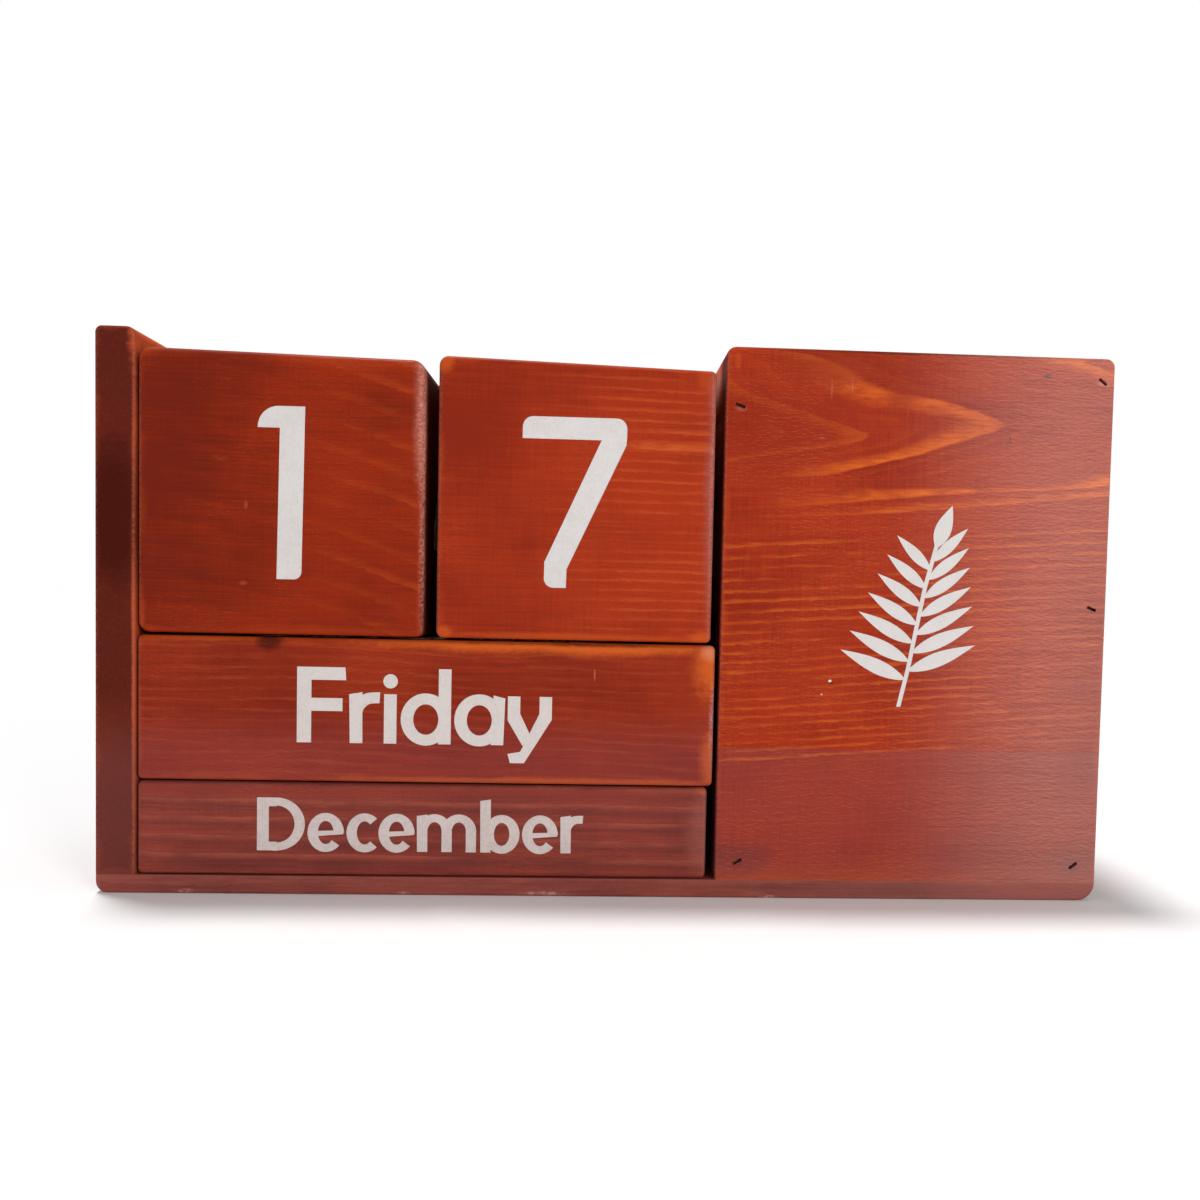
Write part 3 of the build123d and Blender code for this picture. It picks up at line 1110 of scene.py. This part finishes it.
@dataclass
class Painter:
    """Puts painted figures on faces. The paint stands film above the wood and reaches sunk into it, in mm."""

    material: bpy.types.Material
    film: float = 0.04
    sunk: float = 0.03
    drawn: dict[tuple[Letters, str], tuple[np.ndarray, np.ndarray, float]] = field(default_factory=dict)

    def figure(self, letters: Letters, letter: str) -> tuple[np.ndarray, np.ndarray, float]:
        """A letter's or numeral's points, triangles and width, drawn once."""
        if (letters, letter) not in self.drawn:
            pen, width = letters.draw(letter)
            self.drawn[letters, letter] = (*pen.merged(), width)
        return self.drawn[letters, letter]

    def set_line(self, letters: Letters, text: str) -> tuple[np.ndarray, np.ndarray, float]:
        """Sets a text in one line from x = 0.

        Args:
            letters: What it is set in.
            text: The letters.

        Returns:
            Points, triangles and the line's width, in units of the height.
        """
        points, triangles, edge, count = [], [], 0.0, 0
        for letter in text:
            shape, faces, width = self.figure(letters, letter)
            points.append(shape + (edge, 0.0))
            triangles.append(faces + count)
            count += len(shape)
            edge += width + letters.gap
        return np.concatenate(points), np.concatenate(triangles), edge - letters.gap

    def paint(self, name: str, points: np.ndarray, triangles: np.ndarray, frame: Matrix, body: str) -> None:
        """Makes a thin closed film of a flat figure on a face.

        Args:
            name: The piece's name.
            points: Points about the face's middle in mm.
            triangles: Their triangles.
            frame: Carries the figure onto the face.
            body: The CAD body it moves with.
        """
        raised = np.column_stack([points * MM, np.full(len(points), self.film * MM)])
        mesh = bpy.data.meshes.new(name)
        mesh.from_pydata(raised.tolist(), [], triangles.tolist())
        mesh.transform(frame)
        mesh.validate()
        mesh.update()
        mesh.materials.append(self.material)
        piece = add_object(name, mesh)
        shell = piece.modifiers.new("film", "SOLIDIFY")
        shell.thickness = (self.film + self.sunk) * MM
        shell.offset = -1.0
        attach(piece, body)
        LOG.info("painted %s", name)

    def word(
        self, node: str, face: Face, text: str, letters: Letters, height: float, shift: float, baseline: float
    ) -> None:
        """Paints a word or numeral on one face of a loose block.

        Args:
            node: The block's CAD node.
            face: The face.
            text: What is painted.
            letters: What it is set in.
            height: The capitals' height in mm.
            shift: How far the word's middle is to the right of the face's middle in mm.
            baseline: The baseline's height above the face's middle in mm.
        """
        points, triangles, width = self.set_line(letters, text)
        place = (points - (width / 2, 0.0)) * height + (shift, baseline)
        body = node.replace("number_", "").replace("_bar", "")
        self.paint(f"{node}_{face.name}_{text.lower()}", place, triangles, face.frame(node), body)


# The calendar's sub-assemblies


@dataclass
class NumberCubes:
    """The two number cubes: the numerals on each cube from the front over every face, and their size in mm.

    places says how far a cube's numerals are to the right of and above the middle of its faces.
    """

    height: float = 30.9
    letters: Numerals = Numerals()
    faces: dict[str, str] = field(
        default_factory=lambda: {"number_cube_left": "124350", "number_cube_right": "786012"}
    )
    places: dict[str, tuple[float, float]] = field(
        default_factory=lambda: {"number_cube_left": (-0.25, 0.07), "number_cube_right": (-0.70, -0.43)}
    )

    def dress(self, painter: Painter) -> None:
        """Stains both cubes and paints their numerals."""
        for node, finish in self._finishes().items():
            wear(node, finish)
            shift, lift = self.places[node]
            for face, numeral in zip(CUBE_FACES, self.faces[node]):
                painter.word(node, face, numeral, self.letters, self.height, shift, lift - self.height / 2)

    @staticmethod
    def _finishes() -> dict[str, PineFinish]:
        """The cubes' finishes: the left one darker and plainer, the right one redder and more lined."""
        low, high = in_mm(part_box("number_cube_left"))
        front = low[1]
        left = PineFinish(
            name="pine_cube_left",
            along=Along.X,
            rings=Rings(
                pith=(60.0, 160.0), lean=(0.0, 0.25), bend=0.0034, spacing=4.3, show=0.36, shade=0.14,
                over=(-6.0, 25.0), quiet=0.1, ragged=0.9,
            ),
            stain=Stain(
                display(110, 31, 15), display(149, 42, 14), display(186, 70, 24),
                display(182, 68, 24), display(98, 34, 22), (0.16, 0.0, -0.06),
            ),
            seed=11.3,
            edge_reach=1.8,
            edge_show=0.24,
            chatter=0.35,
            rubs=(
                Rub((low[0], front, low[2] + 3.0), (1.8, 4.0, 9.0), 0.50),
                Rub((low[0], front, low[2] + 26.0), (1.2, 4.0, 30.0), 0.40),
                Rub((low[0], front, high[2]), (7.0, 4.0, 2.4), 0.40),
                Rub((high[0] - 12.0, front, high[2] - 0.8), (26.0, 4.0, 2.4), 0.30),
            ),
            marks=(
                # Down the right edge: a pink strip of worn end grain with gritty painted highlights on it.
                Mark((high[0] + 0.2, front, 92.0), (2.9, 4.0, 34.0), 0.90, display(156, 80, 66)),
                Mark((high[0] + 0.2, front, 92.0), (2.2, 4.0, 34.0), 0.90, display(208, 138, 120), True),
                Mark((high[0] + 0.3, front, 66.0), (1.3, 4.0, 34.0), 0.90, display(212, 150, 134), True),
                Mark((-60.0, front, high[2] + 0.2), (40.0, 1.0, 0.8), 0.80, display(84, 28, 18)),
                Mark((-70.5, front, 78.7), (1.9, 3.0, 0.8), 0.35, display(186, 84, 52), True),
                Mark((-65.9, front, 70.5), (0.5, 3.0, 1.1), 0.40, display(186, 84, 52)),
                Mark((-66.3, front, 56.5), (0.9, 3.0, 0.5), 0.35, display(186, 84, 52)),
            ),
        )
        low, high = in_mm(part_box("number_cube_right"))
        right = PineFinish(
            name="pine_cube_right",
            along=Along.X,
            rings=Rings(
                pith=(30.0, 120.0), lean=(0.0, 0.015), spacing=1.65, show=0.34, shade=0.12,
                over=(-14.0, 14.0), wander=0.8, quiet=0.1, ripple=0.15, ragged=0.4,
                accents=(Accent(120.4, 0.6, 0.45, 6.0, 16.0), Accent(123.1, 1.0, 0.75, 4.0, 14.0)),
            ),
            stain=Stain(
                display(134, 38, 18), display(166, 51, 21), display(202, 90, 40),
                display(198, 82, 28), display(112, 44, 32), (0.22, 0.0, -0.06),
            ),
            seed=27.9,
            edge_reach=1.5,
            edge_show=0.25,
            chatter=0.5,
            rubs=(
                Rub((low[0] + 0.8, front, high[2] - 0.8), (2.8, 4.0, 3.2), 0.75),
                Rub((high[0] - 1.5, front, high[2] - 2.5), (3.0, 4.0, 3.6), 0.35),
                Rub((low[0] + 0.8, front, low[2] + 0.8), (3.0, 4.0, 2.0), 0.70),
                Rub((high[0] - 1.0, front, low[2] + 0.8), (5.0, 4.0, 1.7), 0.75),
                # Along the bottom edge: bare wood with a painted sheen on the round-over.
                Rub((low[0] + 24.0, front, low[2] + 0.6), (30.0, 4.0, 1.1), 0.45),
            ),
            marks=(
                # Down the right edge: a worn pink strip with a gritty painted highlight on it (the last
                # mark); the middle one darkens the top edge.
                Mark((high[0] + 0.4, front, 74.0), (3.0, 4.0, 38.0), 0.60, display(150, 82, 76)),
                Mark((-2.0, front, high[2] + 0.2), (34.0, 1.0, 0.8), 0.80, display(84, 28, 18)),
                Mark((high[0], front, 74.0), (1.3, 4.0, 34.0), 0.40, display(206, 150, 138), True),
            ),
        )
        return {"number_cube_left": left, "number_cube_right": right}


@dataclass
class NameBars:
    """The weekday and month bars.

    days and months give the words on each bar from the front over its faces. Sizes are in mm.
    """

    day_height: float = 13.75
    day_baseline: float = -5.90
    day_letters: Alphabet = Alphabet()
    month_height: float = 9.7
    month_baseline: float = -3.95
    month_letters: Alphabet = Alphabet(
        thick=0.192, thin=0.150, heavy=0.217, top=0.70, wide=0.675, lap=0.06, gap=0.048
    )
    shift: float = -0.70
    day_paint: PaintFinish = PaintFinish("day_paint", display(213, 204, 200), display(201, 191, 187))
    month_paint: PaintFinish = PaintFinish("month_paint", display(208, 195, 191), display(190, 174, 170))
    days: dict[str, tuple[str, ...]] = field(
        default_factory=lambda: {
            "day_bar_front": ("Friday", "Saturday", "Sunday"),
            "day_bar_rear": ("Monday", "Tuesday", "Wednesday", "Thursday"),
        }
    )
    months: dict[str, tuple[str, ...]] = field(
        default_factory=lambda: {
            "month_bar_front": ("December", "November", "October", "September"),
            "month_bar_middle": ("August", "July", "June", "May"),
            "month_bar_rear": ("April", "March", "February", "January"),
        }
    )

    def dress(self) -> None:
        """Stains every bar and paints its words."""
        rows = (
            (
                self.days, self.day_letters, self.day_paint, self.day_height, self.day_baseline,
                self._day_finish,
            ),
            (
                self.months, self.month_letters, self.month_paint, self.month_height, self.month_baseline,
                self._month_finish,
            ),
        )
        for bars, letters, paint, height, baseline, finish in rows:
            painter = Painter(paint.build())
            for number, (node, words) in enumerate(bars.items()):
                wear(node, finish(node, number))
                for face, text in zip(BAR_FACES, words):
                    painter.word(node, face, text, letters, height, self.shift, baseline)

    @staticmethod
    def _day_finish(node: str, number: int) -> PineFinish:
        """A weekday bar's finish. The front one is rubbed bare along its upper edge and right end, and has
        painted shadow under the cubes, painted highlights on its right end and a painted reflection of the
        floor low down.
        """
        low, high = in_mm(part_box(node))
        front = low[1]
        rubs = (
            Rub((low[0] + 76.0, front, high[2] - 0.2), (46.0, 4.0, 2.6), 1.0),
            Rub((low[0] + 14.0, front, high[2] + 0.2), (22.0, 4.0, 1.4), 0.55),
            Rub((high[0] + 0.2, front, high[2] - 2.0), (5.6, 4.0, 11.0), 0.95),
            Rub((high[0] + 0.2, front, low[2] + 4.5), (3.6, 4.0, 8.0), 0.80),
            Rub((low[0] + 74.0, front, low[2] + 0.3), (52.0, 4.0, 1.3), 0.70),
        )
        marks = (
            # A dark spot at the top edge under the left cube, then the cubes' painted shadow in the seam
            # along the top edge.
            Mark((-61.6, front, high[2] - 0.6), (3.4, 4.0, 2.2), 0.80, display(60, 16, 10)),
            Mark((-8.0, front, high[2] + 0.2), (40.0, 1.0, 1.1), 0.85, display(58, 18, 10)),
            Mark((-2.9, front, 41.1), (0.16, 3.0, 1.3), 0.50, display(206, 116, 88)),
            # At the right end: a pale painted highlight on the upper corner over the bare orange, and a
            # gritty painted highlight down the end.
            Mark((high[0] - 0.3, front, high[2] - 0.8), (3.2, 4.0, 3.0), 0.60, display(214, 134, 98)),
            Mark((high[0] + 0.3, front, 33.0), (1.5, 4.0, 12.0), 0.60, display(214, 182, 180), True),
        )
        # Painted reflection of the floor, greying the bar towards its foot.
        painted_reflection = PaintedReflection(UPWARD, 36.0, 25.0, 0.22, display(122, 74, 82))
        return PineFinish(
            name=f"pine_{node}",
            along=Along.X,
            rings=Rings(
                pith=(20.0, 70.0 + 9 * number), lean=(0.0, 0.018), spacing=1.75, show=0.26, shade=0.2,
                wander=2.4, ripple=0.5,
            ),
            stain=Stain(
                display(122, 34, 18), display(152, 48, 22), display(180, 80, 46),
                display(200, 88, 32), display(110, 44, 32), (0.14, 0.0, 0.0),
            ),
            seed=41.7 + 13.1 * number,
            edge_reach=1.4,
            edge_show=0.25,
            rubs=rubs if number == 0 else (),
            marks=marks if number == 0 else (),
            painted_reflections=(painted_reflection,) if number == 0 else (),
        )

    @staticmethod
    def _month_finish(node: str, number: int) -> PineFinish:
        """A month bar's finish: duller, its stain greyer in part as a painted reflection of the floor, with
        clear level streaks.
        """
        low, high = in_mm(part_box(node))
        front = low[1]
        marks = (
            # Painted shade on the top round-over, under the weekday bar: a darker band, and darkest along the
            # very edge.
            Mark((-36.0, front, high[2] - 1.4), (80.0, 4.0, 1.1), 0.60, display(150, 50, 30)),
            Mark((-36.0, front, high[2] + 0.3), (80.0, 4.0, 1.1), 0.70, display(84, 28, 22)),
            Mark((high[0] + 0.5, front, 12.0), (6.0, 4.0, 11.0), 0.35, display(170, 104, 94)),
            Mark((high[0], front, high[2] - 0.4), (3.0, 4.0, 1.6), 0.60, display(190, 90, 50)),
        )
        return PineFinish(
            name=f"pine_{node}",
            along=Along.X,
            rings=Rings(
                pith=(24.0, -60.0 + 5 * number), lean=(0.0, 0.006), spacing=2.92, phase=-0.01, show=0.62,
                shade=0.6, wander=0.3, ragged=0.2, accents=(Accent(72.9, 0.6, 0.6),) if number == 0 else (),
            ),
            stain=Stain(
                display(104, 38, 30), display(158, 60, 40), display(178, 84, 62),
                display(160, 74, 52), display(104, 48, 38), (0.05, 0.0, 0.0),
            ),
            seed=63.5 + 9.7 * number,
            edge_reach=0.9,
            edge_show=0.2,
            marks=marks if number == 0 else (),
            # Painted reflection of the floor over the whole front bar.
            painted_reflections=(PaintedReflection(UPWARD, 40.0, 39.0, 0.28, display(126, 72, 70)),) if number == 0 else (),
        )


@dataclass
class Stand:
    """The fixed boards, their brads and the ornament on the pen box."""

    brads: tuple[str, ...] = (
        "panel_brads_left", "panel_brads_right", "back_brads_left", "back_brads_middle", "back_brads_right",
        "base_brads_left", "base_brads_middle", "base_brads_right", "base_brads_front",
    )
    ornament_height: float = 36.0
    ornament_middle: tuple[float, float] = (1.0, 1.8)

    def dress(self, painter: Painter) -> None:
        """Stains the boards, dulls the brads and paints the ornament."""
        for node, finish in self._finishes().items():
            wear(node, finish)
        steel = SteelFinish().build()
        for node in self.brads:
            give(node, steel)
        self._paint_ornament(painter)

    def _finishes(self) -> dict[str, PineFinish]:
        """The boards' finishes by node."""
        side = Stain(
            display(84, 28, 18), display(150, 52, 28), display(182, 82, 42),
            display(204, 92, 52), display(90, 34, 26),
        )
        board = Stain(
            display(136, 35, 15), display(165, 50, 20), display(214, 99, 32),
            display(192, 78, 34), display(96, 34, 24), (0.05, 0.0, 0.02),
        )
        calm = Rings(pith=(60.0, 90.0), lean=(0.01, 0.01), spacing=3.4, tighten=0.001, show=0.4)
        plain = Rings(pith=(40.0, 60.0), lean=(0.05, 0.0), spacing=5.0, tighten=0.004, show=0.4)
        return {
            "base_board": self._base_finish(calm),
            "left_wall": self._left_wall_finish(side, calm),
            "back_board": PineFinish("pine_back", Along.X, plain, board, 15.7, 1.4, 0.4),
            "box_left_wall": self._box_wall_finish(side, calm),
            "box_right_wall": PineFinish("pine_box_right", Along.Y, calm, side, 23.4, 1.4, 0.4),
            "box_front_panel": self._panel_finish(board),
        }

    @staticmethod
    def _base_finish(rings: Rings) -> PineFinish:
        """The base's finish: a dull stain, greyer in part as a painted reflection of the floor, with pale
        chips along the front's lower edge.
        """
        stain = Stain(
            display(117, 52, 41), display(157, 76, 61), display(172, 94, 76),
            display(180, 102, 82), display(108, 53, 45),
        )
        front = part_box("base_board")[0][1] / MM
        pale = display(214, 168, 150)
        places = ((-76.3, 0.6, 1.8), (-37.2, 0.4, 1.9), (-11.7, 0.6, 5.0), (30.0, 0.3, 1.8))
        chips = tuple(
            Mark((along, front, height), (reach, 3.0, 0.5), 0.85, pale, True)
            for along, height, reach in places
        )
        # Painted reflections: the floor greys the whole base, and a pale sheen comes in towards the right.
        painted_reflections = (
            PaintedReflection(UPWARD, 40.0, 39.0, 0.20, display(122, 74, 82)),
            PaintedReflection(SIDEWAYS, 10.0, 90.0, 0.08, display(214, 190, 180)),
        )
        return PineFinish("pine_base", Along.X, rings, stain, 5.1, 0.9, 0.3, marks=chips, painted_reflections=painted_reflections)

    @staticmethod
    def _left_wall_finish(stain: Stain, rings: Rings) -> PineFinish:
        """The left wall: dark end grain in front, crossed by a band of painted shade, rubbed bare along its
        inner edge and high on its inner side, where painted light lies too, and greyed low down by a painted
        reflection of the floor.
        """
        low, high = in_mm(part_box("left_wall"))
        front = low[1]
        return PineFinish(
            name="pine_left_wall",
            along=Along.Y,
            rings=rings,
            stain=stain,
            seed=8.3,
            edge_reach=0.8,
            edge_show=0.10,
            shine=0.0,
            coat=0.02,
            rubs=(
                # Bare wood that also paints the light: the highlight on the inner edge, and the lit top of
                # the inner side.
                Rub((high[0], front + 0.4, 52.0), (0.8, 3.0, 62.0), 0.65),
                Rub((high[0], -4.0, high[2] - 1.0), (2.0, 40.0, 9.0), 1.0),
            ),
            # Painted shade: a dark band across the front.
            marks=(Mark((-88.8, front, 68.0), (7.0, 5.0, 19.0), 0.70, display(60, 19, 12)),),
            # Painted reflection of the floor, greying the lower part.
            painted_reflections=(PaintedReflection(UPWARD, 37.0, 21.0, 0.24, display(134, 84, 80)),),
        )

    @staticmethod
    def _box_wall_finish(stain: Stain, rings: Rings) -> PineFinish:
        """The finish of the box's wall beside the cubes: a pale streak where it stands above them, worn bare
        and brightened by a painted highlight.
        """
        low, high = in_mm(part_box("box_left_wall"))
        return PineFinish(
            name="pine_box_left",
            along=Along.Y,
            rings=rings,
            stain=stain,
            seed=19.9,
            edge_reach=1.0,
            edge_show=0.3,
            shine=0.0,
            coat=0.01,
            marks=(
                # Worn wood with a painted highlight, pinker and paler in the middle.
                Mark((low[0], low[1] + 3.0, high[2] - 3.0), (0.6, 26.0, 9.0), 0.80, display(226, 100, 70)),
                Mark((low[0], low[1] + 8.0, high[2] - 4.0), (0.6, 8.0, 6.5), 0.85, display(252, 170, 144)),
            ),
        )

    @staticmethod
    def _panel_finish(stain: Stain) -> PineFinish:
        """The front panel: arrowhead figure, a foot greyed by a painted reflection of the floor, a painted
        sheen to the right, and small marks.
        """
        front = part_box("box_front_panel")[0][1] / MM
        dark, pale = display(46, 14, 12), display(222, 168, 150)
        spots = (
            ((22.8, 90.2), (1.5, 0.6), 0.25, pale),
            ((90.2, 96.8), (1.6, 0.6), 0.25, pale),
            ((87.7, 6.4), (1.8, 1.3), 0.55, dark),
            ((88.3, 7.5), (7.0, 4.0), 0.35, display(116, 62, 58)),
            ((24.2, 6.6), (1.4, 1.0), 0.55, dark),
            ((22.5, 7.5), (10.0, 4.6), 0.50, display(96, 46, 44)),
            ((79.6, 97.9), (1.3, 0.7), 0.75, dark),
            ((72.9, 86.1), (0.30, 1.2), 0.50, dark),
            # A white chip with a painted shadow beside it, and a smaller chip.
            ((40.6, 40.8), (0.42, 0.34), 1.00, display(240, 224, 214)),
            ((40.9, 40.4), (0.6, 0.28), 0.60, dark),
            ((39.1, 38.3), (0.26, 0.26), 0.80, display(236, 210, 196)),
            ((37.8, 85.4), (0.8, 0.2), 0.30, pale),
            ((39.4, 94.5), (0.18, 2.4), 0.22, pale),
            ((43.2, 95.4), (0.18, 1.8), 0.20, pale),
            ((28.0, 87.0), (24.0, 12.0), 0.50, display(130, 32, 15)),
            ((44.0, 98.5), (22.0, 5.5), 0.50, display(140, 42, 20)),
            ((22.0, 98.8), (0.8, 2.0), 0.35, display(190, 78, 34)),
            ((52.5, 93.6), (5.0, 2.6), 0.55, display(148, 46, 24)),
            ((40.5, 97.5), (9.0, 3.4), 0.40, display(156, 52, 26)),
            ((58.0, 101.6), (48.0, 0.9), 0.75, display(70, 24, 16)),
        )
        figure = Arrowheads(
            pith=(-3.75, 37.09), spacing=2.95, tighten=0.0079, phase=-8.76, show=0.45, shade=0.16,
            band=(20.4, 61.6), ripple=0.28, ragged=0.48, wander=0.5,
            accents=(
                Accent(-10.1, 1.2, 0.34),
                Accent(-2.9, 1.9, 0.70, -34.0, -10.0, 0.20, 5.5),
                Accent(12.5, 1.6, 0.90, -34.0, 4.0),
                Accent(15.2, 1.1, 0.65, -34.0, 4.0),
                Accent(61.1, 0.4, 0.6, 8.0, -6.0),
            ),
        )
        return PineFinish(
            name="pine_panel",
            along=Along.X,
            rings=figure,
            stain=stain,
            seed=31.2,
            edge_reach=1.2,
            edge_show=0.3,
            grain=0.14,
            chatter=0.8,
            marks=tuple(
                Mark((x, front, z), (wide, 3.0, tall), strength, colour)
                for (x, z), (wide, tall), strength, colour in spots
            ),
            # Painted reflections: the floor greys the lower part below a sharp line, the foot grows paler and
            # more orange, and a window's sheen streaks the right side.
            painted_reflections=(
                PaintedReflection(UPWARD, 28.5, 27.9, 0.28, display(118, 72, 76)),
                PaintedReflection(UPWARD, 9.0, 4.0, 0.14, display(208, 108, 78)),
                PaintedReflection(SIDEWAYS, 48.0, 86.0, 0.13, display(236, 214, 204), 1.6),
            ),
        )

    def _paint_ornament(self, painter: Painter) -> None:
        """A slim leaf sprig: a leaning stem with narrow leaves in pairs, smaller towards the tip."""
        pairs, stroke = 7, 0.022
        pen = Pen(stroke, stroke)
        stem = [(-0.10, -0.50), (-0.055, -0.30), (-0.02, -0.10), (0.02, 0.12), (0.075, 0.34)]
        for (x0, y0), (x1, y1) in zip(stem, stem[1:]):
            pen.post(x0, y0, x1, y1)
        pen.leaf((0.07, 0.32), (0.15, 0.54), 0.085)
        for step in range(pairs):
            share = step / pairs
            y = -0.36 + 0.66 * share
            x = -0.068 + 0.115 * share + 0.02 * share**2
            reach = 0.36 - 0.20 * share
            width = 0.075 - 0.02 * share
            pen.leaf((x, y), (x - reach * 0.95, y + 0.15 + 0.03 * share), width)
            pen.leaf((x + 0.01, y + 0.045), (x + reach, y + 0.185 + 0.04 * share), width)
        points, triangles = pen.merged()
        place = points * self.ornament_height + self.ornament_middle
        painter.paint("panel_sprig", place, triangles, FRONT.frame("box_front_panel"), "stand")


def give(node: str, material: bpy.types.Material) -> None:
    """Puts one material on every slot of a CAD node."""
    mesh = bpy.data.objects[node].data
    mesh.materials.clear()
    mesh.materials.append(material)


def wear(node: str, finish: PineFinish) -> None:
    """Stains a CAD node."""
    give(node, finish.build(node))
    LOG.info("stained %s", node)


# The studio


@dataclass
class Studio:
    """A white floor, a white surround, a tall window at the right front and a high soft lamp, in metres."""

    floor_reach: float = 8.0
    floor_colour: Colour = (0.86, 0.86, 0.86, 1.0)
    floor_lift: float = 0.03
    ambient: float = 0.42
    window_place: Point = (0.50, -0.88, 0.27)
    window_aim: Point = (0.07, 0.0, 0.06)
    window_size: tuple[float, float] = (0.24, 0.50)
    window_power: float = 4.2
    high_lamp_way: Point = (-0.12, 0.15, 1.0)
    high_lamp_spread: float = 10.0
    high_lamp_strength: float = 2.25

    def build(self) -> None:
        """Makes the floor, the surround and the lamps."""
        self._floor()
        self._surround()
        self._window()
        self._high_lamp()

    def _floor(self) -> None:
        """A level white floor that shows white where it is lit and keeps the shadow."""
        reach = self.floor_reach
        corners = [(-reach, -reach, 0), (reach, -reach, 0), (reach, reach, 0), (-reach, reach, 0)]
        mesh = bpy.data.meshes.new("floor")
        mesh.from_pydata(corners, [], [(0, 1, 2, 3)])
        material, graph = new_graph("floor_white")
        matt = graph.node("ShaderNodeBsdfDiffuse", None, {"Color": self.floor_colour})
        glow = graph.node("ShaderNodeEmission", None, {"Strength": self._seen(graph) * self.floor_lift})
        both = graph.node("ShaderNodeAddShader", None, {0: matt.outputs[0], 1: glow.outputs[0]})
        graph.node("ShaderNodeOutputMaterial", None, {"Surface": both.outputs[0]})
        mesh.materials.append(material)
        floor = add_object("floor", mesh)

    def _surround(self) -> None:
        """A world that lights at the ambient level and shows white to the camera and in reflections."""
        world = bpy.data.worlds.new("surround")
        bpy.context.scene.world = world
        world.use_nodes = True
        graph = Graph(world.node_tree)
        level = self._seen(graph) * (1.0 - self.ambient) + self.ambient
        back = graph.node("ShaderNodeBackground", None, {"Color": WHITE, "Strength": level})
        graph.node("ShaderNodeOutputWorld", None, {"Surface": back.outputs[0]})

    @staticmethod
    def _seen(graph: Graph) -> Field:
        """1 for rays that show a picture: from the camera, in a reflection or through glass."""
        path = graph.node("ShaderNodeLightPath")
        kinds = ("Is Camera Ray", "Is Glossy Ray", "Is Transmission Ray")
        camera, glossy, through = (Field(graph, path.outputs[kind]) for kind in kinds)
        return camera.most(glossy).most(through)

    def _window(self) -> None:
        """The window: an upright rectangular lamp, its power in watts."""
        light = bpy.data.lights.new("window", "AREA")
        light.shape = "RECTANGLE"
        light.size, light.size_y = self.window_size
        light.energy = self.window_power
        lamp = add_object("window", light)
        lamp.location = self.window_place
        away = Vector(self.window_aim) - Vector(self.window_place)
        lamp.rotation_euler = away.to_track_quat("-Z", "Y").to_euler()

    def _high_lamp(self) -> None:
        """The far soft lamp. Its way is from the object to the lamp, and its spread is in degrees."""
        light = bpy.data.lights.new("high_lamp", "SUN")
        light.angle = math.radians(self.high_lamp_spread)
        light.energy = self.high_lamp_strength
        lamp = add_object("high_lamp", light)
        lamp.rotation_euler = Vector(self.high_lamp_way).to_track_quat("Z", "Y").to_euler()


@dataclass
class Viewpoint:
    """The camera: its place in mm, its heading, pitch and roll in degrees, and its optical centre."""

    place: Point = (-3.484, -247.853, 56.379)
    heading: float = 3.204
    pitch: float = -2.861
    roll: float = 1.278
    frame_pixels: float = 1200.0
    focal_pixels: float = 1200.0
    centre_pixels: tuple[float, float] = (659.02, 652.94)
    sensor: float = 36.0

    def build(self) -> None:
        """Makes the camera and gives it to the scene."""
        heading, pitch, roll = (math.radians(value) for value in (self.heading, self.pitch, self.roll))
        ahead = Vector(
            (math.sin(heading) * math.cos(pitch), math.cos(heading) * math.cos(pitch), math.sin(pitch))
        )
        right = Vector((math.cos(heading), -math.sin(heading), 0))
        up = right.cross(ahead)
        turned_right = math.cos(roll) * right + math.sin(roll) * up
        turned_up = -math.sin(roll) * right + math.cos(roll) * up
        data = bpy.data.cameras.new("view")
        data.sensor_width = self.sensor
        data.lens = self.sensor * self.focal_pixels / self.frame_pixels
        data.shift_x = 0.5 - self.centre_pixels[0] / self.frame_pixels
        data.shift_y = self.centre_pixels[1] / self.frame_pixels - 0.5
        data.clip_start = 0.01
        camera = add_object("view", data)
        axes = Matrix((turned_right, turned_up, -ahead)).transposed().to_4x4()
        camera.matrix_world = Matrix.Translation(Vector(self.place) * MM) @ axes
        bpy.context.scene.camera = camera


def main() -> None:
    """Loads the frame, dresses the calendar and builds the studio."""
    logging.basicConfig(level=logging.INFO, format="%(name)s: %(message)s")
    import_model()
    bpy.context.scene.view_settings.view_transform = "Standard"
    Viewpoint().build()
    Studio().build()
    painter = Painter(PaintFinish().build())
    Stand().dress(painter)
    NumberCubes().dress(painter)
    NameBars().dress()


if __name__ == "__main__":
    main()
